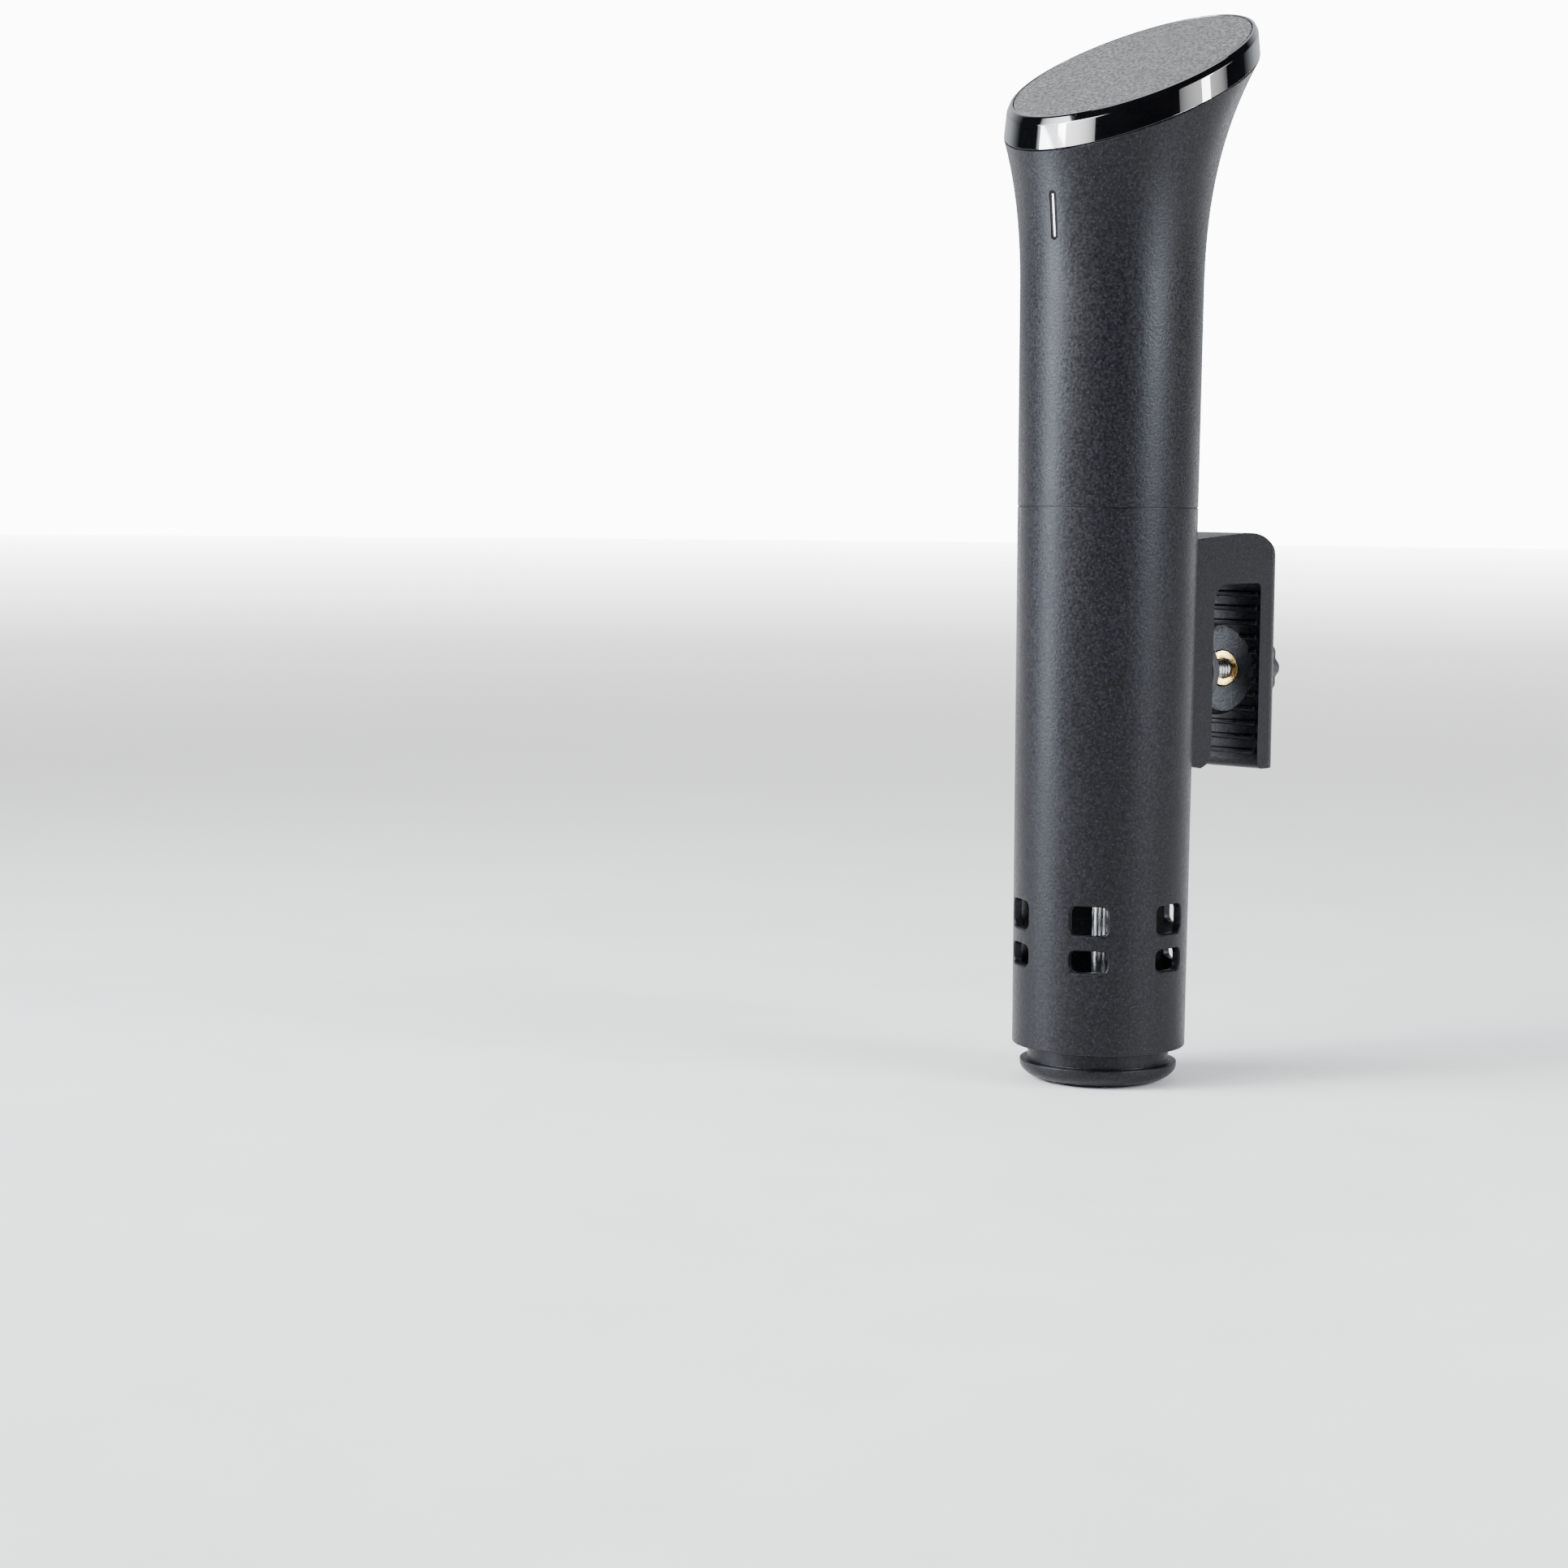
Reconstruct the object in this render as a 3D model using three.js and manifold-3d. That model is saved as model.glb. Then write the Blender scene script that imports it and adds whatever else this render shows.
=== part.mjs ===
// Sous vide circulator with a screw clamp. Millimetres, +Z up.
//
// The pieces are modelled about the tube: x = y = 0 is the tube's axis and z = 0 the underside of the
// bottom cap. -Y is the front, the low side of the slanted head, and +Y is the clamp side. The exported
// group moves all of it so that its own origin is the centre of the clamp's fixed grip face.

import * as THREE from "three";
import { mergeVertices } from "three/addons/utils/BufferGeometryUtils.js";
import Module from "manifold-3d";

const wasm = await Module();
wasm.setup();

// ---------------------------------------------------------------- driving dimensions

const CLEAR = 0.3; // gap between pieces that touch on the real object
const WALL = 2.4; // wall of both housings

// Tube and flared head
const TUBE_RADIUS = 27.3; // at the seam
const TUBE_DRAFT = 0.0054; // radius gained per millimetre of height
const SEAM_Z = 175;
const SKIRT_Z = 11; // lower edge of the lower housing
const FLARE_Z = 239.7; // the head starts to flare here
const FLARE_SQUARE = 15.9e-4;
const FLARE_CUBE = 22.3e-6;
const HEAD_Z = 294.7; // joint between housing and bezel, on the tube's axis
const HEAD_SLOPE = Math.tan(THREE.MathUtils.degToRad(26));
const BEZEL_HEIGHT = 9.15;

// Status light on the front
const STATUS_Z = 260.7;
const STATUS_WIDTH = 2.7;
const STATUS_HEIGHT = 14.5;

// Wet end
const CAP_RADIUS = 24;
const CAP_HEIGHT = 6;
const NECK_RADIUS = 21.6;
const NECK_TOP_Z = 20.5;
const BAYONET_COUNT = 3;
const WINDOW_COUNT = 6;
const WINDOW_WIDTH = 12;
const WINDOW_ROWS = [
  [36, 42.6],
  [47.3, 56],
];
const PLATE_Z = 104; // underside of the base plate
const PLATE_HEIGHT = 5;
const HEATER_RADIUS = 14; // centre line of the bent heater tube
const HEATER_TUBE = 3;
const HEATER_RUNS = 6;
const HEATER_STEP = 50; // degrees between upright runs
const SHAFT_RADIUS = 2.5;
const MOTOR_SHAFT_RADIUS = 1.6;
const MOTOR_RADIUS = 14;
const MOTOR_Z = 131;
const MOTOR_HEIGHT = 32;

// Clamp
const ARM_TOP_Z = 166.8;
const THROAT_Z = 151.5;
const ARM_HALF_WIDTH = 17;
const ARM_END_Y = 68;
const LEG_FACE_Y = 57;
const LEG_FOOT_Z = 93;
const ROOT_FACE_Y = 32.3;
const GRIP_Y = 32.7; // face of the soft pad on the tube side
const SCREW_Z = 124;
const SCREW_RADIUS = 3;
const JAW_FACE_Y = GRIP_Y + 4.6;
const JAW_RADIUS = 12.5;
const KNOB_RADIUS = 11;
const KNOB_Y = ARM_END_Y + 4.4;
const KNOB_LENGTH = 6.6;

// Inside of the upper housing
const CHASSIS_Z = 184;
const BOARD_Y = 1.2;
const BOARD_THICKNESS = 1.6;
const GLAND_Z = 214;

// Number of facets round a piece
const ROUND = 32;
const MEDIUM = 16;
const SMALL = 8;

// ---------------------------------------------------------------- solids

// A geometry as a manifold-3d solid, with its vertices merged and its collapsed triangles dropped.
function asSolid(geometry) {
  const bare = new THREE.BufferGeometry();
  bare.setAttribute("position", geometry.getAttribute("position"));
  bare.setIndex(geometry.index);
  const merged = mergeVertices(bare, 1e-4);
  const corners = merged.index.array;
  const kept = [];
  for (let i = 0; i < corners.length; i += 3) {
    const [a, b, c] = corners.slice(i, i + 3);
    if (a !== b && b !== c && c !== a) kept.push(a, b, c);
  }
  const vertProperties = merged.attributes.position.array;
  return new wasm.Manifold(new wasm.Mesh({ numProp: 3, vertProperties, triVerts: new Uint32Array(kept) }));
}

function asGeometry(solid) {
  const mesh = solid.getMesh();
  const geometry = new THREE.BufferGeometry();
  geometry.setAttribute("position", new THREE.BufferAttribute(mesh.vertProperties, 3));
  geometry.setIndex(new THREE.BufferAttribute(mesh.triVerts, 1));
  return geometry;
}

function join(...geometries) {
  return asGeometry(geometries.map(asSolid).reduce((whole, next) => whole.add(next)));
}

function cut(base, ...tools) {
  return asGeometry(tools.map(asSolid).reduce((rest, tool) => rest.subtract(tool), asSolid(base)));
}

function common(a, b) {
  return asGeometry(asSolid(a).intersect(asSolid(b)));
}

// A profile of [radius, height] points turned about Y. A profile that leaves the axis closes on itself.
function turnedAlongY(points, segments = MEDIUM) {
  const onAxis = points[0][0] === 0 && points.at(-1)[0] === 0;
  const loop = onAxis ? points : [...points, points[0]];
  const outline = loop.map(([radius, height]) => new THREE.Vector2(radius, height));
  if (THREE.ShapeUtils.area(outline) < 0) outline.reverse();
  return new THREE.LatheGeometry(outline, segments);
}

function turned(points, segments = MEDIUM) {
  return turnedAlongY(points, segments).rotateX(Math.PI / 2);
}

function rod(radius, bottom, top, segments = MEDIUM) {
  return turned([[0, bottom], [radius, bottom], [radius, top], [0, top]], segments);
}

function tube(inner, outer, bottom, top, segments = MEDIUM) {
  return turned([[inner, bottom], [outer, bottom], [outer, top], [inner, top]], segments);
}

function rodAlongY(radius, from, to, segments = MEDIUM) {
  return turnedAlongY([[0, from], [radius, from], [radius, to], [0, to]], segments);
}

function box([x0, x1], [y0, y1], [z0, z1]) {
  const geometry = new THREE.BoxGeometry(x1 - x0, y1 - y0, z1 - z0);
  return geometry.translate((x0 + x1) / 2, (y0 + y1) / 2, (z0 + z1) / 2);
}

// Prisms: a shape in (x, y) extruded up Z, a shape in (x, z) along Y, and a shape in (y, z) along X.
function prism(shape, from, to, curveSegments = 4) {
  const settings = { depth: to - from, bevelEnabled: false, curveSegments };
  return new THREE.ExtrudeGeometry(shape, settings).translate(0, 0, from);
}

function prismAlongY(shape, from, to, curveSegments = 4) {
  return prism(shape, -to, -from, curveSegments).rotateX(Math.PI / 2);
}

function prismAlongX(shape, from, to, curveSegments = 4) {
  const turn = new THREE.Matrix4().set(0, 0, 1, 0, 1, 0, 0, 0, 0, 1, 0, 0, 0, 0, 0, 1);
  return prism(shape, from, to, curveSegments).applyMatrix4(turn);
}

function roundedRectangle(width, height, radius) {
  const shape = new THREE.Shape();
  const x = width / 2 - radius;
  const y = height / 2 - radius;
  shape.absarc(x, y, radius, 0, Math.PI / 2);
  shape.absarc(-x, y, radius, Math.PI / 2, Math.PI);
  shape.absarc(-x, -y, radius, Math.PI, 1.5 * Math.PI);
  shape.absarc(x, -y, radius, 1.5 * Math.PI, 2 * Math.PI);
  return shape;
}

// Part of a flat ring, centred on an angle in degrees from +X.
function sector(inner, outer, middle, width) {
  const from = THREE.MathUtils.degToRad(middle - width / 2);
  const to = THREE.MathUtils.degToRad(middle + width / 2);
  const shape = new THREE.Shape();
  shape.absarc(0, 0, outer, from, to);
  shape.absarc(0, 0, inner, to, from, true);
  return shape;
}

// Where a piece stands on a circle about the tube's axis, at an angle in degrees from +X.
function onCircle(radius, degrees) {
  const angle = THREE.MathUtils.degToRad(degrees);
  return [radius * Math.cos(angle), radius * Math.sin(angle)];
}

// A pan-head screw that points down -Z, with its head's underside at z = 0.
function screwBody(shank, length, head, headHeight) {
  const profile = [
    [0, -length],
    [shank, -length],
    [shank, 0],
    [head, 0],
    [head, headHeight * 0.6],
    [head * 0.7, headHeight],
    [0, headHeight],
  ];
  return turned(profile, SMALL);
}

// ---------------------------------------------------------------- the outer form

function bodyRadius(z) {
  const rise = Math.max(0, z - FLARE_Z);
  return TUBE_RADIUS + TUBE_DRAFT * (z - SEAM_Z) + FLARE_SQUARE * rise ** 2 + FLARE_CUBE * rise ** 3;
}

// Radius of the slanted oval where the flare meets the head's plane. The angle is measured from the front.
function ovalRadius(angle) {
  let radius = TUBE_RADIUS;
  for (let pass = 0; pass < 60; pass++) {
    const height = HEAD_Z - radius * Math.cos(angle) * HEAD_SLOPE;
    radius = (radius + bodyRadius(height)) / 2;
  }
  return radius;
}

const OVAL = Array.from({ length: ROUND + 1 }, (_, i) => ovalRadius((i / ROUND) * 2 * Math.PI));

// A section of [inset, height] points swept round the oval: inset from its edge, height above its plane.
// A point with no inset lies on the tube's axis.
function roundOval(section) {
  const reach = 100;
  const radius = (inset) => (inset === null ? 0 : reach - inset);
  const geometry = turned(section.map(([inset, height]) => [radius(inset), height]), ROUND);
  const position = geometry.getAttribute("position");
  const perTurn = position.count / (ROUND + 1);
  for (let i = 0; i < position.count; i++) {
    const x = position.getX(i);
    const y = position.getY(i);
    const before = Math.hypot(x, y);
    const after = before < 1e-6 ? 0 : OVAL[Math.floor(i / perTurn)] - (reach - before);
    const scale = before < 1e-6 ? 0 : after / before;
    position.setXYZ(i, x * scale, y * scale, HEAD_Z + position.getZ(i) + y * scale * HEAD_SLOPE);
  }
  return geometry;
}

// Moves level geometry onto the head's plane by shearing it.
function onHead(geometry) {
  const shear = new THREE.Matrix4().makeShear(0, 0, 0, HEAD_SLOPE, 0, 0);
  return geometry.applyMatrix4(shear).translate(0, 0, HEAD_Z);
}

function flareHeights(top) {
  const steps = 8;
  return Array.from({ length: steps + 1 }, (_, i) => FLARE_Z + ((top - FLARE_Z) * i) / steps);
}

// ---------------------------------------------------------------- materials

function finish(color, roughness, metalness) {
  return new THREE.MeshStandardMaterial({ color, roughness, metalness, flatShading: true });
}

const SHELL = finish(0x2b2d33, 0.5, 0);
const GLOSS = finish(0x08080a, 0.08, 0);
const PANEL = finish(0x8c8c8c, 0.6, 0);
const LIGHT = finish(0xf4f6f8, 0.3, 0);
const SOFT = finish(0x17181a, 0.85, 0);
const BLACK_PLASTIC = finish(0x1a1b1d, 0.55, 0);
const GREY_PLASTIC = finish(0x9a9c9e, 0.5, 0);
const BOARD = finish(0x1d5a3a, 0.5, 0);
const COMPONENT = finish(0x24262a, 0.45, 0);
const CERAMIC = finish(0xd9d4c6, 0.5, 0);
const STEEL = finish(0xc4c6c8, 0.25, 1);
const BRASS = finish(0xb5914c, 0.3, 1);
const ALUMINIUM = finish(0xb8babd, 0.4, 1);
const COPPER_RED = finish(0x8c4a2a, 0.4, 0.6);

// ---------------------------------------------------------------- head

function upperHousing() {
  const heights = [SEAM_Z + CLEAR / 2, ...flareHeights(322)];
  const outside = heights.map((z) => [bodyRadius(z), z]);
  const inside = heights.map((z) => [bodyRadius(z) - WALL, z]).reverse();
  const above = onHead(box([-80, 80], [-80, 80], [0, 120]));
  const slot = roundedRectangle(STATUS_WIDTH, STATUS_HEIGHT, STATUS_WIDTH / 2 - 0.01);
  const statusSlot = prismAlongY(slot, -35, -20).translate(0, 0, STATUS_Z);
  const glandHole = rodAlongY(GLAND_NECK + CLEAR, 20, 35, MEDIUM).translate(0, 0, GLAND_Z);
  return cut(turned([...outside, ...inside], ROUND), above, statusSlot, glandHole);
}

// Gloss band with a wall that leans in, a rounded upper edge, and inner ledges for panel and board.
function bezelRing() {
  return roundOval([
    [0.05, CLEAR],
    [0.82, 7.6],
    [1.35, 8.7],
    [2.1, BEZEL_HEIGHT],
    [2.6, BEZEL_HEIGHT],
    [2.6, 6.2],
    [5.3, 6.2],
    [5.3, 2.2],
    [8, 2.2],
    [8, CLEAR],
  ]);
}

function ovalPlate(inset, bottom, top) {
  return roundOval([[null, bottom], [inset, bottom], [inset, top], [null, top]]);
}

function bezelGasket() {
  return roundOval([[3.2, 6.5], [5, 6.5], [5, 7.1], [3.2, 7.1]]);
}

function displayModule() {
  return onHead(box([-16, 16], [-12, 26], [4.4, 7.1]));
}

// Black shroud that keeps the status light off the shell, trimmed to the tube's surface.
function statusBezel() {
  const outer = roundedRectangle(STATUS_WIDTH - 0.6, STATUS_HEIGHT - 0.6, STATUS_WIDTH / 2 - 0.31);
  const inner = roundedRectangle(STATUS_WIDTH - 1.24, STATUS_HEIGHT - 1.5, STATUS_WIDTH / 2 - 0.63);
  const shroud = cut(prismAlongY(outer, -30, -24), prismAlongY(inner, -31, -23));
  return common(shroud.translate(0, 0, STATUS_Z), tubeCore(0.05));
}

function statusLens() {
  const bar = roundedRectangle(STATUS_WIDTH - 1.64, STATUS_HEIGHT - 1.9, STATUS_WIDTH / 2 - 0.83);
  return common(prismAlongY(bar, -30, -23).translate(0, 0, STATUS_Z), tubeCore(0.1));
}

// The tube's form as a full solid, set back from its surface.
function tubeCore(inset) {
  const heights = [SEAM_Z, ...flareHeights(300)];
  const outside = heights.map((z) => [bodyRadius(z) - inset, z]);
  return turned([[0, SEAM_Z], ...outside, [0, 300]], ROUND);
}

function statusLedBoard() {
  const board = box([-4, 4], [-20.6, -19.4], [STATUS_Z - 10, STATUS_Z + 10]);
  const lamp = box([-0.9, 0.9], [-22.4, -20.5], [STATUS_Z - 6, STATUS_Z + 6]);
  return join(board, lamp);
}

// ---------------------------------------------------------------- electronics

const BOARD_SCREWS = [192, 270];

// Bulkhead with an upright tray. The bulkhead has a gap on each side for the motor's and heater's wires.
function chassis() {
  const bulkhead = rod(24.3, CHASSIS_Z, CHASSIS_Z + 3, ROUND);
  const tray = box([-20, 20], [-1.8, 0.6], [CHASSIS_Z + 2, 276]);
  const ribs = [-20, 18].map((x) => box([x, x + 2], [-5, 0], [CHASSIS_Z + 2, 276]));
  const wireGaps = [-1, 1].map((side) => {
    return rod(4, CHASSIS_Z - 1, CHASSIS_Z + 4, SMALL).translate(12 * side, -12, 0);
  });
  const screwHoles = BOARD_SCREWS.map((z) => rodAlongY(1.5, -3, 2, SMALL).translate(0, 0, z));
  return cut(join(bulkhead, tray, ...ribs), ...wireGaps, ...screwHoles);
}

function controlBoard() {
  const board = box([-18.5, 18.5], [BOARD_Y, BOARD_Y + BOARD_THICKNESS], [189, 273]);
  const screwHoles = BOARD_SCREWS.map((z) => rodAlongY(1.5, 0, 4, SMALL).translate(0, 0, z));
  return cut(board, ...screwHoles);
}

const BOARD_FACE_Y = BOARD_Y + BOARD_THICKNESS + CLEAR;

function transformer() {
  const core = box([-15, -1], [BOARD_FACE_Y, BOARD_FACE_Y + 12], [222, 238]);
  const winding = box([-13, -3], [BOARD_FACE_Y + 1, BOARD_FACE_Y + 13.5], [219.5, 240.5]);
  return join(core, winding);
}

function relay() {
  return box([3, 14], [BOARD_FACE_Y, BOARD_FACE_Y + 13], [224, 240]);
}

function filterCapacitor() {
  const can = rod(6, 199, 219, MEDIUM);
  return can.translate(-10, BOARD_FACE_Y + 6.1, 0);
}

function fuse() {
  const glass = rod(2.4, 200, 216, SMALL);
  const ends = [rod(2.8, 198, 202, SMALL), rod(2.8, 214, 218, SMALL)];
  return join(glass, ...ends).translate(12, BOARD_FACE_Y + 3, 0);
}

function heatSink() {
  const back = box([-14, 14], [8, 10], [246, 268]);
  const fins = [-14, -8.5, -3, 2.5, 8, 12.4].map((x) => box([x, x + 1.6], [9, 16], [246, 268]));
  return join(back, ...fins);
}

function triac() {
  return join(box([-5, 5], [3.1, 7.7], [250, 264]), box([-5, 5], [6.4, 7.7], [250, 267]));
}

function radioModule() {
  return join(box([-8, 8], [-3.2, -2.1], [228, 250]), box([-6.5, 6.5], [-5.2, -3.1], [230, 244]));
}

const GLAND_NECK = 5.6;

// Collar that clips into the back wall: flange inside, neck through the wall, tapered nose outside.
function cordGland() {
  const wallIn = bodyRadius(GLAND_Z) - WALL;
  const wallOut = bodyRadius(GLAND_Z);
  const profile = [
    [3.3, wallIn - 3],
    [7.6, wallIn - 3],
    [7.6, wallIn - 1.6],
    [GLAND_NECK, wallIn - 1.6],
    [GLAND_NECK, wallOut + 0.6],
    [7.4, wallOut + 0.6],
    [7.4, wallOut + 2],
    [4.8, wallOut + 7],
    [3.3, wallOut + 7],
  ];
  return turnedAlongY(profile, MEDIUM).translate(0, 0, GLAND_Z);
}

// ---------------------------------------------------------------- lower housing and cap

const SPIGOT_RADIUS = TUBE_RADIUS - WALL - CLEAR;
const LEDGE_RADIUS = 17.8;
const TAB_TOP_Z = 13.4;
const PLATE_SCREW_CIRCLE = 20.2;
const PLATE_SCREW_ANGLES = [20, 140, 260];
const ARM_SCREW_X = 8;
const ARM_SCREW_Z = 159;
const ARM_SCREW_SEAT_Y = 22.1;

function bayonet(inner, outer, bottom, top, width) {
  const angles = Array.from({ length: BAYONET_COUNT }, (_, i) => 30 + (360 / BAYONET_COUNT) * i);
  return angles.map((angle) => prism(sector(inner, outer, angle, width), bottom, top, 3));
}

function intakeWindows() {
  const windows = [];
  for (const [low, high] of WINDOW_ROWS) {
    const shape = roundedRectangle(WINDOW_WIDTH, high - low, 2.5);
    for (let i = 0; i < WINDOW_COUNT; i++) {
      const opening = prismAlongY(shape, 18, 32, 2).translate(0, 0, (low + high) / 2);
      windows.push(opening.rotateZ((i / WINDOW_COUNT) * 2 * Math.PI - Math.PI / 2));
    }
  }
  return windows;
}

function armScrewPlaces(geometry) {
  return [-1, 1].map((side) => geometry().translate(side * ARM_SCREW_X, 0, ARM_SCREW_Z));
}

// Skirt and lower tube in one moulding: spigot and seal groove on top, ledge for the base plate, small
// ledge for the bearing spider, intake windows, and inner tabs for the cap's bayonet.
function lowerHousing() {
  const inner = (z) => bodyRadius(z) - WALL;
  const top = SEAM_Z - CLEAR / 2;
  const shell = turned(
    [
      [bodyRadius(SKIRT_Z), SKIRT_Z],
      [bodyRadius(top), top],
      [SPIGOT_RADIUS, top],
      [SPIGOT_RADIUS, 178],
      [SPIGOT_RADIUS - 1.2, 178],
      [SPIGOT_RADIUS - 1.2, 180.2],
      [SPIGOT_RADIUS, 180.2],
      [SPIGOT_RADIUS, 183],
      [SPIGOT_RADIUS - 2.4, 183],
      [SPIGOT_RADIUS - 2.4, 171],
      [inner(168), 168],
      [inner(PLATE_Z), PLATE_Z - CLEAR],
      [LEDGE_RADIUS, PLATE_Z - CLEAR],
      [LEDGE_RADIUS, PLATE_Z - 3],
      [inner(98), 98],
      [inner(23.7), 23.7],
      [22.4, 23.7],
      [22.4, 22.2],
      [inner(21), 21],
      [inner(SKIRT_Z), SKIRT_Z],
    ],
    ROUND,
  );
  const tabs = bayonet(22, 25, SKIRT_Z, TAB_TOP_Z, 30);
  const plateScrews = PLATE_SCREW_ANGLES.map((angle) => {
    return rod(1.5, 96, 106, SMALL).translate(...onCircle(PLATE_SCREW_CIRCLE, angle), 0);
  });
  const armScrews = armScrewPlaces(() => rodAlongY(1.9, 15, 30, SMALL));
  return cut(join(shell, ...tabs), ...intakeWindows(), ...plateScrews, ...armScrews);
}

function seamSeal() {
  return tube(SPIGOT_RADIUS - 0.9, SPIGOT_RADIUS + 0.15, 178.3, 179.9, ROUND);
}

// Shallow bowl with an upright neck. The neck's back has the water outlet, and three lugs lock it.
function bottomCap() {
  const edge = [30, 50, 70, 90].map((degrees) => {
    const angle = THREE.MathUtils.degToRad(degrees);
    return [15 + (CAP_RADIUS - 15) * Math.sin(angle), 5 * (1 - Math.cos(angle))];
  });
  const bowl = turned(
    [
      [0, 0],
      [15, 0],
      ...edge,
      [CAP_RADIUS, CAP_HEIGHT],
      [NECK_RADIUS, CAP_HEIGHT],
      [NECK_RADIUS, NECK_TOP_Z],
      [NECK_RADIUS - 2, NECK_TOP_Z],
      [NECK_RADIUS - 2, 4.5],
      [16, 2.6],
      [0, 2.6],
    ],
    ROUND,
  );
  const lugs = bayonet(NECK_RADIUS - 0.6, 23.5, TAB_TOP_Z + 0.4, TAB_TOP_Z + 3, 28);
  const outlet = box([-11, 11], [10, 30], [CAP_HEIGHT + 0.2, SKIRT_Z]);
  return cut(join(bowl, ...lugs), outlet);
}

// ---------------------------------------------------------------- heater, probes and base plate

const HEATER_TOP_Z = PLATE_Z + PLATE_HEIGHT + 8;
const PROBE_CIRCLE = 7.5;
const PROBES = [
  { name: "temperature_probe", angle: 180, radius: 1.8, tip: 59 },
  { name: "level_rod_low", angle: 60, radius: 1.2, tip: 64 },
  { name: "level_rod_high", angle: 300, radius: 1.2, tip: 90 },
];

function heaterAngle(run) {
  return HEATER_STEP * (run - (HEATER_RUNS - 1) / 2);
}

// One tube bent up and down round the shaft. Both ends pass up through the base plate.
function heaterCoil() {
  const points = [];
  for (let run = 0; run < HEATER_RUNS; run++) {
    const [x, y] = onCircle(HEATER_RADIUS, heaterAngle(run));
    const last = run === 0 || run === HEATER_RUNS - 1;
    const high = last ? [HEATER_TOP_Z, 108, 99, 90] : [90];
    const heights = [...high, 78, 66];
    if (run % 2 === 1) heights.reverse();
    points.push(...heights.map((z) => new THREE.Vector3(x, y, z)));
  }
  const path = new THREE.CatmullRomCurve3(points, false, "centripetal");
  const section = new THREE.Shape().absarc(0, 0, HEATER_TUBE, 0, 2 * Math.PI);
  const settings = { steps: 48, curveSegments: 4, bevelEnabled: false, extrudePath: path };
  return new THREE.ExtrudeGeometry(section, settings);
}

function heaterNut(angle) {
  const [x, y] = onCircle(HEATER_RADIUS, angle);
  const bottom = PLATE_Z + PLATE_HEIGHT + CLEAR;
  const hole = rod(HEATER_TUBE + CLEAR, bottom - 1, bottom + 5, SMALL);
  return cut(rod(4.9, bottom, bottom + 4, 6), hole).translate(x, y, 0);
}

function probe({ angle, radius, tip }) {
  const [x, y] = onCircle(PROBE_CIRCLE, angle);
  const top = PLATE_Z + PLATE_HEIGHT + 2;
  const profile = [
    [0, tip],
    [radius * 0.7, tip + radius * 0.3],
    [radius, tip + radius],
    [radius, top],
    [0, top],
  ];
  return turned(profile, SMALL).translate(x, y, 0);
}

function heaterLegs() {
  return [0, HEATER_RUNS - 1].map((run) => onCircle(HEATER_RADIUS, heaterAngle(run)));
}

// Pressed plate that closes the wet end, with a rim groove for its seal.
function basePlate() {
  const rim = bodyRadius(PLATE_Z) - WALL - CLEAR;
  const top = PLATE_Z + PLATE_HEIGHT;
  const plate = turned(
    [
      [6, PLATE_Z],
      [rim, PLATE_Z],
      [rim, PLATE_Z + 1.4],
      [rim - 1.8, PLATE_Z + 1.4],
      [rim - 1.8, PLATE_Z + 3.6],
      [rim, PLATE_Z + 3.6],
      [rim, top],
      [6, top],
    ],
    ROUND,
  );
  const hole = (radius, x, y) => rod(radius, PLATE_Z - 1, top + 1, SMALL).translate(x, y, 0);
  const holes = [
    ...heaterLegs().map(([x, y]) => hole(HEATER_TUBE + 0.4, x, y)),
    ...PROBES.map(({ angle, radius }) => hole(radius + CLEAR, ...onCircle(PROBE_CIRCLE, angle))),
    ...PLATE_SCREW_ANGLES.map((angle) => hole(1.5, ...onCircle(PLATE_SCREW_CIRCLE, angle))),
  ];
  return cut(plate, ...holes);
}

function baseSeal() {
  const rim = bodyRadius(PLATE_Z) - WALL - CLEAR;
  return tube(rim - 1.5, rim + 0.1, PLATE_Z + 1.7, PLATE_Z + 3.3, ROUND);
}

function shaftSeal() {
  return tube(SHAFT_RADIUS + CLEAR, 5.7, PLATE_Z + CLEAR, PLATE_Z + PLATE_HEIGHT - CLEAR, MEDIUM);
}

// ---------------------------------------------------------------- motor and pump

const MOUNT_Z = 124;
const MOUNT_HEIGHT = 3;
const MOTOR_SCREW_X = 10;
const COUPLING_Z = 111.5;
const COUPLING_STEP_Z = 117.3;
const COUPLING_TOP_Z = 122;
const SHAFT_FOOT_Z = 8.5;
const BUSH_Z = 23;
const BUSH_HEIGHT = 5;

function motorScrewHoles() {
  return [-1, 1].map((side) => {
    return rod(1.5, MOUNT_Z - 2, MOTOR_Z + 4, SMALL).translate(side * MOTOR_SCREW_X, 0, 0);
  });
}

// Plate on three posts that stand on the base plate.
function motorMount() {
  const plate = tube(6.5, 19.5, MOUNT_Z, MOUNT_Z + MOUNT_HEIGHT, ROUND);
  const foot = PLATE_Z + PLATE_HEIGHT + CLEAR;
  const posts = [60, 180, 300].map((angle) => {
    return rod(2.4, foot, MOUNT_Z + 1, SMALL).translate(...onCircle(17, angle), 0);
  });
  return cut(join(plate, ...posts), ...motorScrewHoles());
}

function motorDamper() {
  return cut(tube(7, 13, MOUNT_Z + MOUNT_HEIGHT + CLEAR, MOTOR_Z - CLEAR, MEDIUM), ...motorScrewHoles());
}

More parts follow.
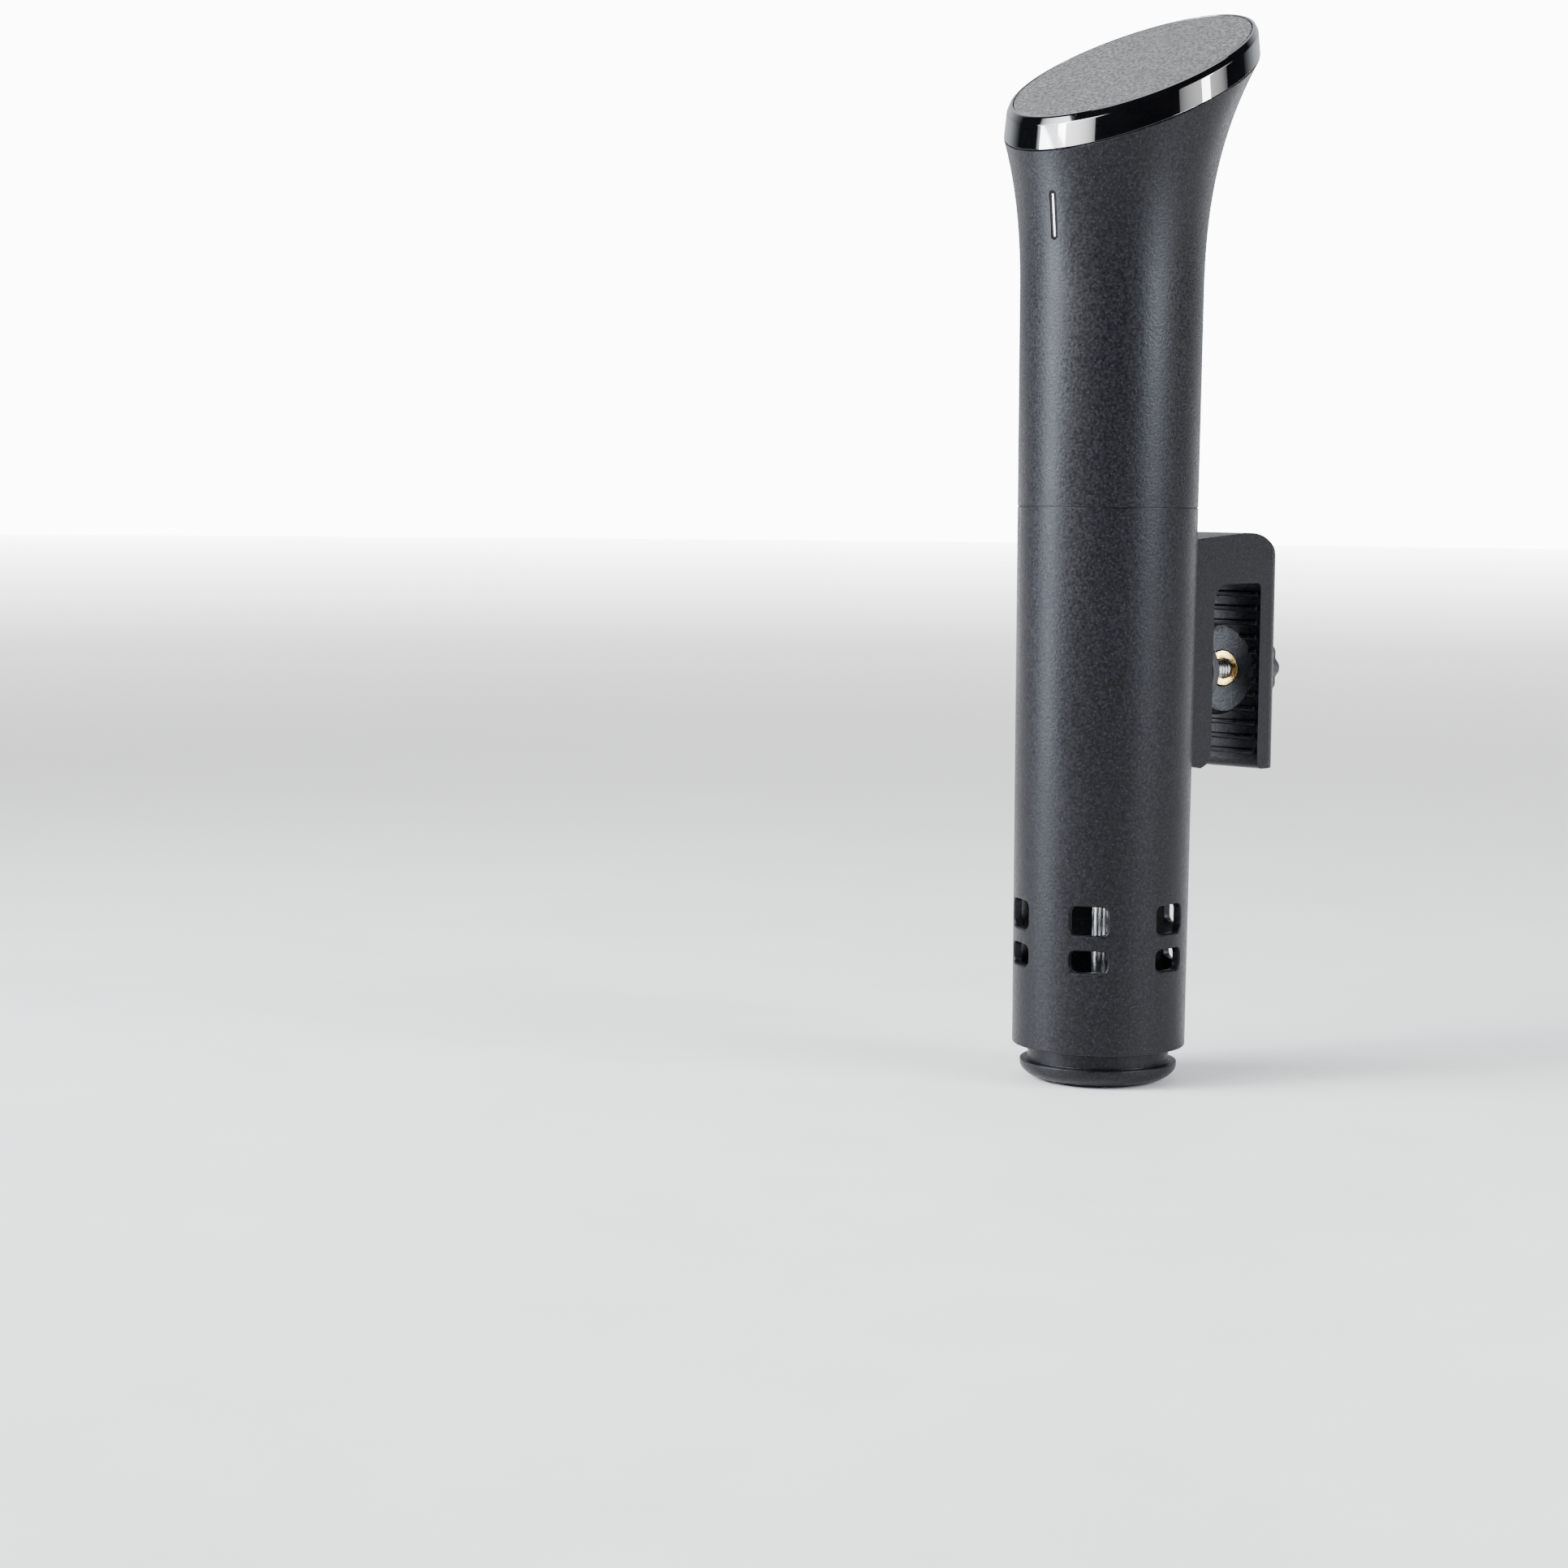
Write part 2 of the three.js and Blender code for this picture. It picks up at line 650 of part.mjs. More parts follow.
// Drawn can, open in the middle of both ends for the bearings.
function motorCan() {
  const sheet = 1.2;
  const top = MOTOR_Z + MOTOR_HEIGHT;
  const can = turned(
    [
      [5.3, MOTOR_Z],
      [MOTOR_RADIUS, MOTOR_Z],
      [MOTOR_RADIUS, top],
      [5.3, top],
      [5.3, top - sheet],
      [MOTOR_RADIUS - sheet, top - sheet],
      [MOTOR_RADIUS - sheet, MOTOR_Z + sheet],
      [5.3, MOTOR_Z + sheet],
    ],
    MEDIUM,
  );
  return cut(can, ...motorScrewHoles());
}

function motorBearing(bottom) {
  return tube(MOTOR_SHAFT_RADIUS + CLEAR, 5, bottom, bottom + 3, SMALL);
}

function motorRotor() {
  return tube(MOTOR_SHAFT_RADIUS + CLEAR, 11.5, MOTOR_Z + 5, MOTOR_Z + MOTOR_HEIGHT - 5, MEDIUM);
}

function shaftCoupling() {
  return turned(
    [
      [SHAFT_RADIUS + CLEAR, COUPLING_Z],
      [6, COUPLING_Z],
      [6, COUPLING_TOP_Z],
      [MOTOR_SHAFT_RADIUS + CLEAR, COUPLING_TOP_Z],
      [MOTOR_SHAFT_RADIUS + CLEAR, COUPLING_STEP_Z],
      [SHAFT_RADIUS + CLEAR, COUPLING_STEP_Z],
    ],
    MEDIUM,
  );
}

// Ring with three spokes that holds the lower bush inside the skirt.
function bearingSpider() {
  const ring = tube(21.2, 23.7, 24, 26.5, ROUND);
  const hub = tube(5.5, 8.2, BUSH_Z, BUSH_Z + BUSH_HEIGHT, MEDIUM);
  const spokes = [30, 150, 270].map((angle) => {
    return box([7, 22], [-1.75, 1.75], [24, 26.5]).rotateZ(THREE.MathUtils.degToRad(angle));
  });
  return join(ring, hub, ...spokes);
}

function lowerBush() {
  return tube(SHAFT_RADIUS + CLEAR, 5.2, BUSH_Z, BUSH_Z + BUSH_HEIGHT, MEDIUM);
}

// Back plate with six swept-back blades under it.
function impeller() {
  const hub = tube(SHAFT_RADIUS + CLEAR, 5, SHAFT_FOOT_Z - 0.5, 20, MEDIUM);
  const plate = tube(4, 16, 18.6, 20, MEDIUM);
  const sweep = new THREE.Shape();
  sweep.absarc(4, -9, 12.4, 0.72 * Math.PI, 0.27 * Math.PI, true);
  sweep.absarc(4, -9, 11.1, 0.27 * Math.PI, 0.72 * Math.PI);
  const blades = Array.from({ length: 6 }, (_, i) => {
    const blade = prism(sweep, SHAFT_FOOT_Z, 19, 3).translate(3.2, 0, 0);
    return blade.rotateZ((i / 6) * 2 * Math.PI);
  });
  const envelope = tube(SHAFT_RADIUS + CLEAR, 16, 8, 20, MEDIUM);
  return common(join(hub, plate, ...blades), envelope);
}

// ---------------------------------------------------------------- clamp

const RIB_PITCH = 4.5;
const RIB_PROUD = 1;
const POCKET_RADIUS = 14;
const POCKET_DEPTH = 4;
const PAD_RECESS = 1.7;
const INSERT_RADIUS = 5.6;

// Ribs on the leg's inner face, as points of the side outline from the throat down to the foot.
function ribOutline(top, bottom) {
  const points = [];
  for (let z = top; z > bottom; z -= RIB_PITCH) {
    points.push([LEG_FACE_Y, z], [LEG_FACE_Y - RIB_PROUD, z - 0.5]);
    points.push([LEG_FACE_Y - RIB_PROUD, z - 1.4], [LEG_FACE_Y, z - 1.9]);
  }
  return points;
}

// Outline of the arm in (y, z): root along the tube, crowned top, leg with rounded foot, ribs, throat.
function armOutline() {
  const shape = new THREE.Shape();
  shape.moveTo(10, 98);
  shape.lineTo(10, ARM_TOP_Z - 1.4);
  shape.lineTo(22, ARM_TOP_Z - 1.4);
  shape.quadraticCurveTo(42, ARM_TOP_Z + 0.1, 51, ARM_TOP_Z + 0.45);
  shape.bezierCurveTo(59, ARM_TOP_Z + 0.45, ARM_END_Y, ARM_TOP_Z - 3.5, ARM_END_Y, ARM_TOP_Z - 15);
  shape.lineTo(ARM_END_Y, LEG_FOOT_Z + 4);
  shape.quadraticCurveTo(ARM_END_Y, LEG_FOOT_Z, ARM_END_Y - 4, LEG_FOOT_Z);
  shape.lineTo(LEG_FACE_Y + 3, LEG_FOOT_Z);
  shape.quadraticCurveTo(LEG_FACE_Y, LEG_FOOT_Z, LEG_FACE_Y, LEG_FOOT_Z + 3);
  for (const [y, z] of ribOutline(THROAT_Z - 2.5, LEG_FOOT_Z + 5).reverse()) shape.lineTo(y, z);
  shape.lineTo(LEG_FACE_Y, THROAT_Z - 1.5);
  shape.lineTo(LEG_FACE_Y - 1.5, THROAT_Z);
  shape.lineTo(ROOT_FACE_Y + 7, THROAT_Z);
  shape.quadraticCurveTo(ROOT_FACE_Y, THROAT_Z, ROOT_FACE_Y, THROAT_Z - 9);
  shape.lineTo(ROOT_FACE_Y, 100);
  shape.quadraticCurveTo(ROOT_FACE_Y - 0.5, 96, 27, 95);
  return shape;
}

// Outline of the arm from above, with rounded outer corners.
function armPlan() {
  const shape = new THREE.Shape();
  const corner = 5;
  shape.moveTo(-ARM_HALF_WIDTH, 5);
  shape.lineTo(ARM_HALF_WIDTH, 5);
  shape.lineTo(ARM_HALF_WIDTH, ARM_END_Y - corner);
  shape.absarc(ARM_HALF_WIDTH - corner, ARM_END_Y - corner, corner, 0, Math.PI / 2);
  shape.absarc(corner - ARM_HALF_WIDTH, ARM_END_Y - corner, corner, Math.PI / 2, Math.PI);
  return shape;
}

function tubePadShape(grow) {
  return roundedRectangle(26 + 2 * grow, 36 + 2 * grow, 4 + grow);
}

function clampArm() {
  const side = prismAlongX(armOutline(), -ARM_HALF_WIDTH - 1, ARM_HALF_WIDTH + 1, 5);
  const body = common(side, prism(armPlan(), 80, 180, 5));
  const housing = turned(
    [[0, 80], [bodyRadius(80) + CLEAR, 80], [bodyRadius(180) + CLEAR, 180], [0, 180]],
    ROUND,
  );
  const recess = prismAlongY(tubePadShape(CLEAR), ROOT_FACE_Y - PAD_RECESS, ROOT_FACE_Y + 5, 3);
  const pocket = rodAlongY(POCKET_RADIUS, LEG_FACE_Y - 3, LEG_FACE_Y + POCKET_DEPTH, MEDIUM);
  const bore = rodAlongY(INSERT_RADIUS + CLEAR, LEG_FACE_Y, ARM_END_Y + 1, MEDIUM);
  const counterbore = rodAlongY(7.3, ARM_END_Y - 1.7, ARM_END_Y + 1, MEDIUM);
  const atScrew = [recess, pocket, bore, counterbore].map((tool) => tool.translate(0, 0, SCREW_Z));
  const armScrews = armScrewPlaces(() => rodAlongY(1.9, 20, 39, SMALL));
  return cut(body, housing, ...atScrew, ...armScrews);
}

function tubePad() {
  const pad = prismAlongY(tubePadShape(0), ROOT_FACE_Y - PAD_RECESS + CLEAR, GRIP_Y, 3);
  return pad.translate(0, 0, SCREW_Z);
}

function clampInsert() {
  const profile = [
    [SCREW_RADIUS + CLEAR, LEG_FACE_Y + POCKET_DEPTH + 0.4],
    [INSERT_RADIUS, LEG_FACE_Y + POCKET_DEPTH + 0.4],
    [INSERT_RADIUS, ARM_END_Y - 1.4],
    [7, ARM_END_Y - 1.4],
    [7, ARM_END_Y - 0.2],
    [SCREW_RADIUS + CLEAR, ARM_END_Y - 0.2],
  ];
  return turnedAlongY(profile, MEDIUM).translate(0, 0, SCREW_Z);
}

const JAW_PLATE_Y = JAW_FACE_Y + 1.8;
const JAW_BACK_Y = JAW_PLATE_Y + 3.6;
const JAW_BOSS_Y = JAW_BACK_Y + 1.6;

function jawPad() {
  return rodAlongY(JAW_RADIUS - 0.5, JAW_FACE_Y, JAW_PLATE_Y - CLEAR, MEDIUM).translate(0, 0, SCREW_Z);
}

// Round swivel plate with a socket for the screw's tip.
function clampJaw() {
  const profile = [
    [0, JAW_PLATE_Y],
    [JAW_RADIUS, JAW_PLATE_Y],
    [JAW_RADIUS, JAW_BACK_Y - 1],
    [JAW_RADIUS - 1, JAW_BACK_Y],
    [5.6, JAW_BACK_Y],
    [5.6, JAW_BOSS_Y],
    [SCREW_RADIUS + CLEAR, JAW_BOSS_Y],
    [SCREW_RADIUS + CLEAR, JAW_PLATE_Y + 1.6],
    [0, JAW_PLATE_Y + 1.6],
  ];
  return turnedAlongY(profile, MEDIUM).translate(0, 0, SCREW_Z);
}

function clampScrew() {
  const from = JAW_PLATE_Y + 1.6 + CLEAR;
  return rodAlongY(SCREW_RADIUS, from, KNOB_Y + KNOB_LENGTH - 2, MEDIUM).translate(0, 0, SCREW_Z);
}

// Lobed knob with a blind hole for the screw.
function clampKnob() {
  const lobes = 10;
  const shape = new THREE.Shape();
  const points = Array.from({ length: lobes * 6 }, (_, i) => {
    const angle = (i / (lobes * 6)) * 2 * Math.PI;
    const radius = KNOB_RADIUS - 0.7 * (1 - Math.cos(lobes * angle)) ** 1.5 * 0.5;
    return new THREE.Vector2(radius * Math.cos(angle), radius * Math.sin(angle));
  });
  shape.setFromPoints(points);
  const grip = prismAlongY(shape, KNOB_Y, KNOB_Y + KNOB_LENGTH);
  const dome = turnedAlongY(
    [
      [0, KNOB_Y],
      [KNOB_RADIUS - 1, KNOB_Y],
      [KNOB_RADIUS + 1, KNOB_Y + 1.4],
      [KNOB_RADIUS + 1, KNOB_Y + KNOB_LENGTH - 2.4],
      [KNOB_RADIUS - 2.2, KNOB_Y + KNOB_LENGTH],
      [0, KNOB_Y + KNOB_LENGTH],
    ],
    ROUND,
  );
  const socket = rodAlongY(SCREW_RADIUS + CLEAR, KNOB_Y - 1, KNOB_Y + KNOB_LENGTH - 1.7, MEDIUM);
  return cut(common(grip, dome), socket).translate(0, 0, SCREW_Z);
}

// ---------------------------------------------------------------- assembly

const pieces = new THREE.Group();
pieces.position.set(0, -GRIP_Y, -SCREW_Z);

function add(name, material, geometry) {
  const mesh = new THREE.Mesh(asGeometry(asSolid(geometry)), material);
  mesh.name = name;
  pieces.add(mesh);
}

add("upper_housing", SHELL, upperHousing());
add("bezel_ring", GLOSS, bezelRing());
add("touch_panel", PANEL, ovalPlate(2.9, 7.4, BEZEL_HEIGHT));
add("bezel_gasket", SOFT, bezelGasket());
add("display_board", BOARD, ovalPlate(5.7, 2.5, 4.1));
add("display_module", BLACK_PLASTIC, displayModule());
add("status_bezel", GLOSS, statusBezel());
add("status_lens", LIGHT, statusLens());
add("status_led_board", BOARD, statusLedBoard());

add("chassis", GREY_PLASTIC, chassis());
add("control_board", BOARD, controlBoard());
add("transformer", COPPER_RED, transformer());
add("relay", COMPONENT, relay());
add("filter_capacitor", COMPONENT, filterCapacitor());
add("fuse", CERAMIC, fuse());
add("heat_sink", ALUMINIUM, heatSink());
add("triac", COMPONENT, triac());
add("radio_module", STEEL, radioModule());
add("cord_gland", SOFT, cordGland());
BOARD_SCREWS.forEach((z, i) => {
  const screw = screwBody(1.2, 3.4, 2.4, 1.5).rotateX(-Math.PI / 2);
  add("board_screw_" + ["lower", "upper"][i], STEEL, screw.translate(0, BOARD_FACE_Y, z));
});

add("lower_housing", SHELL, lowerHousing());
add("seam_seal", SOFT, seamSeal());
add("bottom_cap", SHELL, bottomCap());
add("base_plate", STEEL, basePlate());
add("base_seal", SOFT, baseSeal());
add("heater_coil", STEEL, heaterCoil());
add("heater_nut_left", BRASS, heaterNut(heaterAngle(0)));
add("heater_nut_right", BRASS, heaterNut(heaterAngle(HEATER_RUNS - 1)));
for (const item of PROBES) add(item.name, STEEL, probe(item));
PLATE_SCREW_ANGLES.forEach((angle, i) => {
  const [x, y] = onCircle(PLATE_SCREW_CIRCLE, angle);
  const screw = screwBody(1.2, 7.5, 2.4, 1.5).translate(x, y, PLATE_Z + PLATE_HEIGHT + CLEAR);
  add("plate_screw_" + (i + 1), STEEL, screw);
});

add("shaft_seal", SOFT, shaftSeal());
add("motor_mount", GREY_PLASTIC, motorMount());
add("motor_damper", SOFT, motorDamper());
add("motor_can", STEEL, motorCan());
add("motor_bearing_lower", BRASS, motorBearing(MOTOR_Z));
add("motor_bearing_upper", BRASS, motorBearing(MOTOR_Z + MOTOR_HEIGHT - 3));
[-1, 1].forEach((side) => {
  const screw = screwBody(1.2, 9.2, 2.3, 1.4).rotateX(Math.PI);
  const name = "motor_screw_" + (side < 0 ? "left" : "right");
  add(name, STEEL, screw.translate(side * MOTOR_SCREW_X, 0, MOUNT_Z - CLEAR));
});
add("motor_rotor", STEEL, motorRotor());
add("motor_shaft", STEEL, rod(MOTOR_SHAFT_RADIUS, COUPLING_STEP_Z, MOTOR_Z + MOTOR_HEIGHT + 2, SMALL));
add("shaft_coupling", BRASS, shaftCoupling());
add("drive_shaft", STEEL, rod(SHAFT_RADIUS, SHAFT_FOOT_Z, COUPLING_STEP_Z - CLEAR, SMALL));
add("bearing_spider", GREY_PLASTIC, bearingSpider());
add("lower_bush", BLACK_PLASTIC, lowerBush());
add("impeller", BLACK_PLASTIC, impeller());

add("clamp_arm", SHELL, clampArm());
add("tube_pad", SOFT, tubePad());
add("clamp_insert", BRASS, clampInsert());
add("clamp_screw", STEEL, clampScrew());
add("clamp_knob", BLACK_PLASTIC, clampKnob());
add("clamp_jaw", BLACK_PLASTIC, clampJaw());
add("jaw_pad", SOFT, jawPad());
[-1, 1].forEach((side) => {
  const screw = screwBody(1.6, 16, 2.9, 2).rotateX(Math.PI / 2);
  const name = "arm_screw_" + (side < 0 ? "left" : "right");
  add(name, STEEL, screw.translate(side * ARM_SCREW_X, ARM_SCREW_SEAT_Y, ARM_SCREW_Z));
});

const group = new THREE.Group();
group.name = "sous_vide_circulator";
group.add(pieces);

export default group;
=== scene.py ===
"""The looks of a sous vide circulator with a screw clamp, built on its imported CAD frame.

The makers work in millimetres about the tube: x = y = 0 is its axis, z = 0 the underside of the bottom
cap, -Y the front, where the slanted head is low, and +Y the clamp side. A piece is moved into the row
frame and into metres when its mesh is made.
"""

import math

import bmesh
import bpy
from mathutils import Matrix, Vector


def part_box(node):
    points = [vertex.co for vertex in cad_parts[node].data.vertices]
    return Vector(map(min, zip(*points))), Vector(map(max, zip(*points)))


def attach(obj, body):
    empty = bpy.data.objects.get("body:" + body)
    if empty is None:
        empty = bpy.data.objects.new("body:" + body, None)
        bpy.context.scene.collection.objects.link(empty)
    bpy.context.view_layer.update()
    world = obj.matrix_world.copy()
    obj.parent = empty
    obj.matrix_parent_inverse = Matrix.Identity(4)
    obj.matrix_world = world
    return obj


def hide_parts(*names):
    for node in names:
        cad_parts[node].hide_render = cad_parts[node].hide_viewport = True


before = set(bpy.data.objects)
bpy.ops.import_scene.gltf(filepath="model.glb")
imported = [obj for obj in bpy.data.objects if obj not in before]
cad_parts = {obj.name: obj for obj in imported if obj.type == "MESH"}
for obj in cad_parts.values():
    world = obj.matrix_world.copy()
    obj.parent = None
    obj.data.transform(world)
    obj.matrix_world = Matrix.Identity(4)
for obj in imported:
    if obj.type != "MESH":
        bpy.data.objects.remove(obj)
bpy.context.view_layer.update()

MM = 0.001
tube_low, tube_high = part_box("lower_housing")
AXIS = (tube_low + tube_high) / 2
AXIS.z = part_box("bottom_cap")[0].z

# ---------------------------------------------------------------- driving dimensions, as in the CAD

CLEAR = 0.3
WALL = 2.4
TUBE_RADIUS = 27.3
TUBE_DRAFT = 0.0054
SEAM_Z = 175
SKIRT_Z = 11
FLARE_Z = 239.7
FLARE_SQUARE = 15.9e-4
FLARE_CUBE = 22.3e-6
HEAD_Z = 294.7
HEAD_SLOPE = math.tan(math.radians(26))
BEZEL_HEIGHT = 9.08

STATUS_Z = 260.7
STATUS_WIDTH = 2.7
STATUS_HEIGHT = 14.5
GLAND_Z = 214

CAP_RADIUS = 24
CAP_HEIGHT = 6
NECK_RADIUS = 21.6
NECK_TOP_Z = 20.5
TAB_TOP_Z = 13.4
TAB_TURNS = (30, 150, 270)
WINDOW_COUNT = 6
WINDOW_WIDTH = 12
WINDOW_ROWS = [(36, 42.6), (47.3, 56)]
PLATE_Z = 104
PLATE_SCREW_RADIUS = 20.2
PLATE_HEIGHT = 5
HEATER_RADIUS = 14
HEATER_TUBE = 3
HEATER_RUNS = 6
HEATER_STEP = 50
SHAFT_RADIUS = 2.5
SHAFT_FOOT_Z = 8.5

ARM_TOP_Z = 166.8
THROAT_Z = 151.5
ARM_HALF_WIDTH = 17
ARM_END_Y = 68
ARM_SCREW_X = 8
ARM_SCREW_Z = 159
LEG_FACE_Y = 57
LEG_FOOT_Z = 93
ROOT_FACE_Y = 32.3
GRIP_Y = 32.7
SCREW_Z = 124
SCREW_RADIUS = 3
THREAD_LEAD = 3
JAW_FACE_Y = GRIP_Y + 4.6
JAW_RADIUS = 12.5
KNOB_RADIUS = 11
KNOB_Y = ARM_END_Y + 4.4
KNOB_LENGTH = 6.6

# Points round a piece
FINE = 256
ROUND = 192
MEDIUM = 96
SMALL = 48

# ---------------------------------------------------------------- meshes


def loft(name, rings, ends="caps"):
    """An object with a closed surface through rings of points, in order. A ring may be a single point.

    ends is "caps", which closes the first and the last ring with a face, or "round", which joins them.
    """
    mesh = bmesh.new()
    rows = [[mesh.verts.new(Vector(p) * MM + AXIS) for p in ring] for ring in rings]
    pairs = list(zip(rows, rows[1:]))
    if ends == "round":
        pairs.append((rows[-1], rows[0]))
    for low, high in pairs:
        count = max(len(low), len(high))
        for i in range(count):
            j = (i + 1) % count
            corners = [
                low[i % len(low)],
                low[j % len(low)],
                high[j % len(high)],
                high[i % len(high)],
            ]
            mesh.faces.new(dict.fromkeys(corners))
    if ends == "caps":
        for row in (rows[0], rows[-1]):
            if len(row) > 2:
                mesh.faces.new(row)
    bmesh.ops.recalc_face_normals(mesh, faces=mesh.faces)
    data = bpy.data.meshes.new(name)
    mesh.to_mesh(data)
    mesh.free()
    made = bpy.data.objects.new(name, data)
    bpy.context.scene.collection.objects.link(made)
    return made


def rounded(corners, radius=0.3, steps=4, is_open=False):
    """The outline through these corners, each rounded. A corner's third number is its own radius."""
    points = []
    last = len(corners) - 1
    for i, corner in enumerate(corners):
        here = Vector(corner[:2])
        size = corner[2] if len(corner) > 2 else radius
        if size == 0 or (is_open and i in (0, last)):
            points.append(here)
            continue
        before = Vector(corners[i - 1][:2]) - here
        after = Vector(corners[(i + 1) % len(corners)][:2]) - here
        half = before.angle(after) / 2
        if half > math.radians(88):
            points.append(here)
            continue
        reach = min(size / math.tan(half), 0.48 * before.length, 0.48 * after.length)
        start = here + before.normalized() * reach
        end = here + after.normalized() * reach
        for k in range(steps + 1):
            t = k / steps
            points.append(start * (1 - t) ** 2 + here * 2 * t * (1 - t) + end * t**2)
    return points


def circle(radius, height, count):
    """A level ring about the axis, or its one point if it has no radius."""
    if radius < 1e-6:
        return [(0, 0, height)]
    turns = [2 * math.pi * i / count for i in range(count)]
    return [(radius * math.cos(a), radius * math.sin(a), height) for a in turns]


def lathe(name, outline, count=ROUND, at=(0, 0, 0)):
    """A (radius, height) outline turned about Z. One that starts and ends on the axis is full."""
    rings = [
        [Vector(p) + Vector(at) for p in circle(radius, height, count)]
        for radius, height in outline
    ]
    full = outline[0][0] < 1e-6 and outline[-1][0] < 1e-6
    return loft(name, rings, "caps" if full else "round")


def lathe_along_y(name, outline, count=MEDIUM, at=(0, 0, 0)):
    """A (radius, y) outline turned about a line along Y through a point."""
    rings = []
    for radius, y in outline:
        ring = [(x, y, z) for x, z, _ in circle(radius, 0, count)]
        rings.append([Vector(p) + Vector(at) for p in ring])
    full = outline[0][0] < 1e-6 and outline[-1][0] < 1e-6
    return loft(name, rings, "caps" if full else "round")


def prism(name, outline, low, high, place):
    """A flat outline drawn out from low to high. place(a, b, depth) puts a point of it in space."""
    return loft(name, [[place(a, b, depth) for a, b in outline] for depth in (low, high)])


def along_x(y, z, depth):
    """Places a prism along X."""
    return (depth, y, z)


def along_y(x, z, depth):
    """Places a prism along Y."""
    return (x, depth, z)


def along_z(x, y, depth):
    """Places a prism along Z."""
    return (x, y, depth)


def spun(angle, place):
    """The placing of a prism, turned about the tube's axis."""
    spin = Matrix.Rotation(angle, 3, "Z")
    return lambda a, b, depth: spin @ Vector(place(a, b, depth))


def rectangle(width, height, radius, steps=8):
    """A rounded rectangle about (0, 0)."""
    corners = [
        (width / 2, height / 2),
        (-width / 2, height / 2),
        (-width / 2, -height / 2),
        (width / 2, -height / 2),
    ]
    return rounded(corners, radius, steps)


def evaluated(made):
    """Applies an object's modifiers to its mesh."""
    graph = bpy.context.evaluated_depsgraph_get()
    data = bpy.data.meshes.new_from_object(made.evaluated_get(graph))
    old = made.data
    made.modifiers.clear()
    made.data = data
    bpy.data.meshes.remove(old)
    return made


def combined(operation, made, tools):
    """Applies a boolean with each tool to an object, and removes the tools."""
    for tool in tools:
        modifier = made.modifiers.new(operation.lower(), "BOOLEAN")
        modifier.operation = operation
        modifier.solver = "EXACT"
        modifier.object = tool
    evaluated(made)
    for tool in tools:
        data = tool.data
        bpy.data.objects.remove(tool)
        bpy.data.meshes.remove(data)
    return made


def cut(made, *tools):
    return combined("DIFFERENCE", made, tools)


def join(made, *tools):
    return combined("UNION", made, tools)


def common(made, *tools):
    return combined("INTERSECT", made, tools)


def softened(made, width, steps=3, angle=40):
    """Rounds the edges sharper than an angle."""
    modifier = made.modifiers.new("round_edges", "BEVEL")
    modifier.width = width * MM
    modifier.segments = steps
    modifier.limit_method = "ANGLE"
    modifier.angle_limit = math.radians(angle)
    return evaluated(made)


def piece(made, material, body="housing", replaces=(), sharp=32):
    """Shades and paints a finished object, hangs it on its body and hides the CAD nodes it replaces."""
    made.data.polygons.foreach_set("use_smooth", [True] * len(made.data.polygons))
    made.data.set_sharp_from_angle(angle=math.radians(sharp))
    modifier = made.modifiers.new("even_normals", "WEIGHTED_NORMAL")
    modifier.keep_sharp = True
    made.data.materials.clear()
    made.data.materials.append(material)
    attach(made, body)
    if replaces:
        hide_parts(*replaces)
    return made


# ---------------------------------------------------------------- the outer form


def body_radius(z):
    """Radius of the outer form at a height: a slightly drafted tube, then the flare."""
    rise = max(0, z - FLARE_Z)
    straight = TUBE_RADIUS + TUBE_DRAFT * (z - SEAM_Z)
    return straight + FLARE_SQUARE * rise**2 + FLARE_CUBE * rise**3


def plane_radius(angle, inset=0.0):
    """Radius where the flare's surface, set back by inset, meets the head's plane."""
    radius = TUBE_RADIUS
    for _ in range(60):
        height = HEAD_Z - radius * math.cos(angle) * HEAD_SLOPE
        radius = (radius + body_radius(height) - inset) / 2
    return radius


def head_angles(count):
    """Turns about the axis, measured from the front."""
    return [2 * math.pi * i / count for i in range(count)]


def front_point(angle, radius, z):
    """A point at a turn from the front."""
    return Vector((radius * math.sin(angle), -radius * math.cos(angle), z))


OVAL = [plane_radius(angle) for angle in head_angles(FINE)]


def oval(inset, height):
    """A ring on the slanted head: inset from the oval's edge, height above its plane."""
    ring = []
    for angle, edge in zip(head_angles(FINE), OVAL):
        point = front_point(angle, edge - inset, 0)
        point.z = HEAD_Z + height + point.y * HEAD_SLOPE
        ring.append(point)
    return ring


def flare_ring(share, inset, count=FINE):
    """A ring of the flare's wall, from level at its foot (share 0) to the head's plane (share 1)."""
    ring = []
    for angle in head_angles(count):
        top = HEAD_Z - plane_radius(angle, inset) * math.cos(angle) * HEAD_SLOPE
        z = FLARE_Z + share * (top - FLARE_Z)
        ring.append(front_point(angle, body_radius(z) - inset, z))
    return ring


def level_ring(z, inset, count=FINE):
    return [front_point(a, body_radius(z) - inset, z) for a in head_angles(count)]


def on_front(x, z, depth):
    """A point on the front of the body, set back by depth."""
    radius = body_radius(z) - depth
    return Vector((x, -math.sqrt(radius**2 - x**2), z))


# ---------------------------------------------------------------- materials


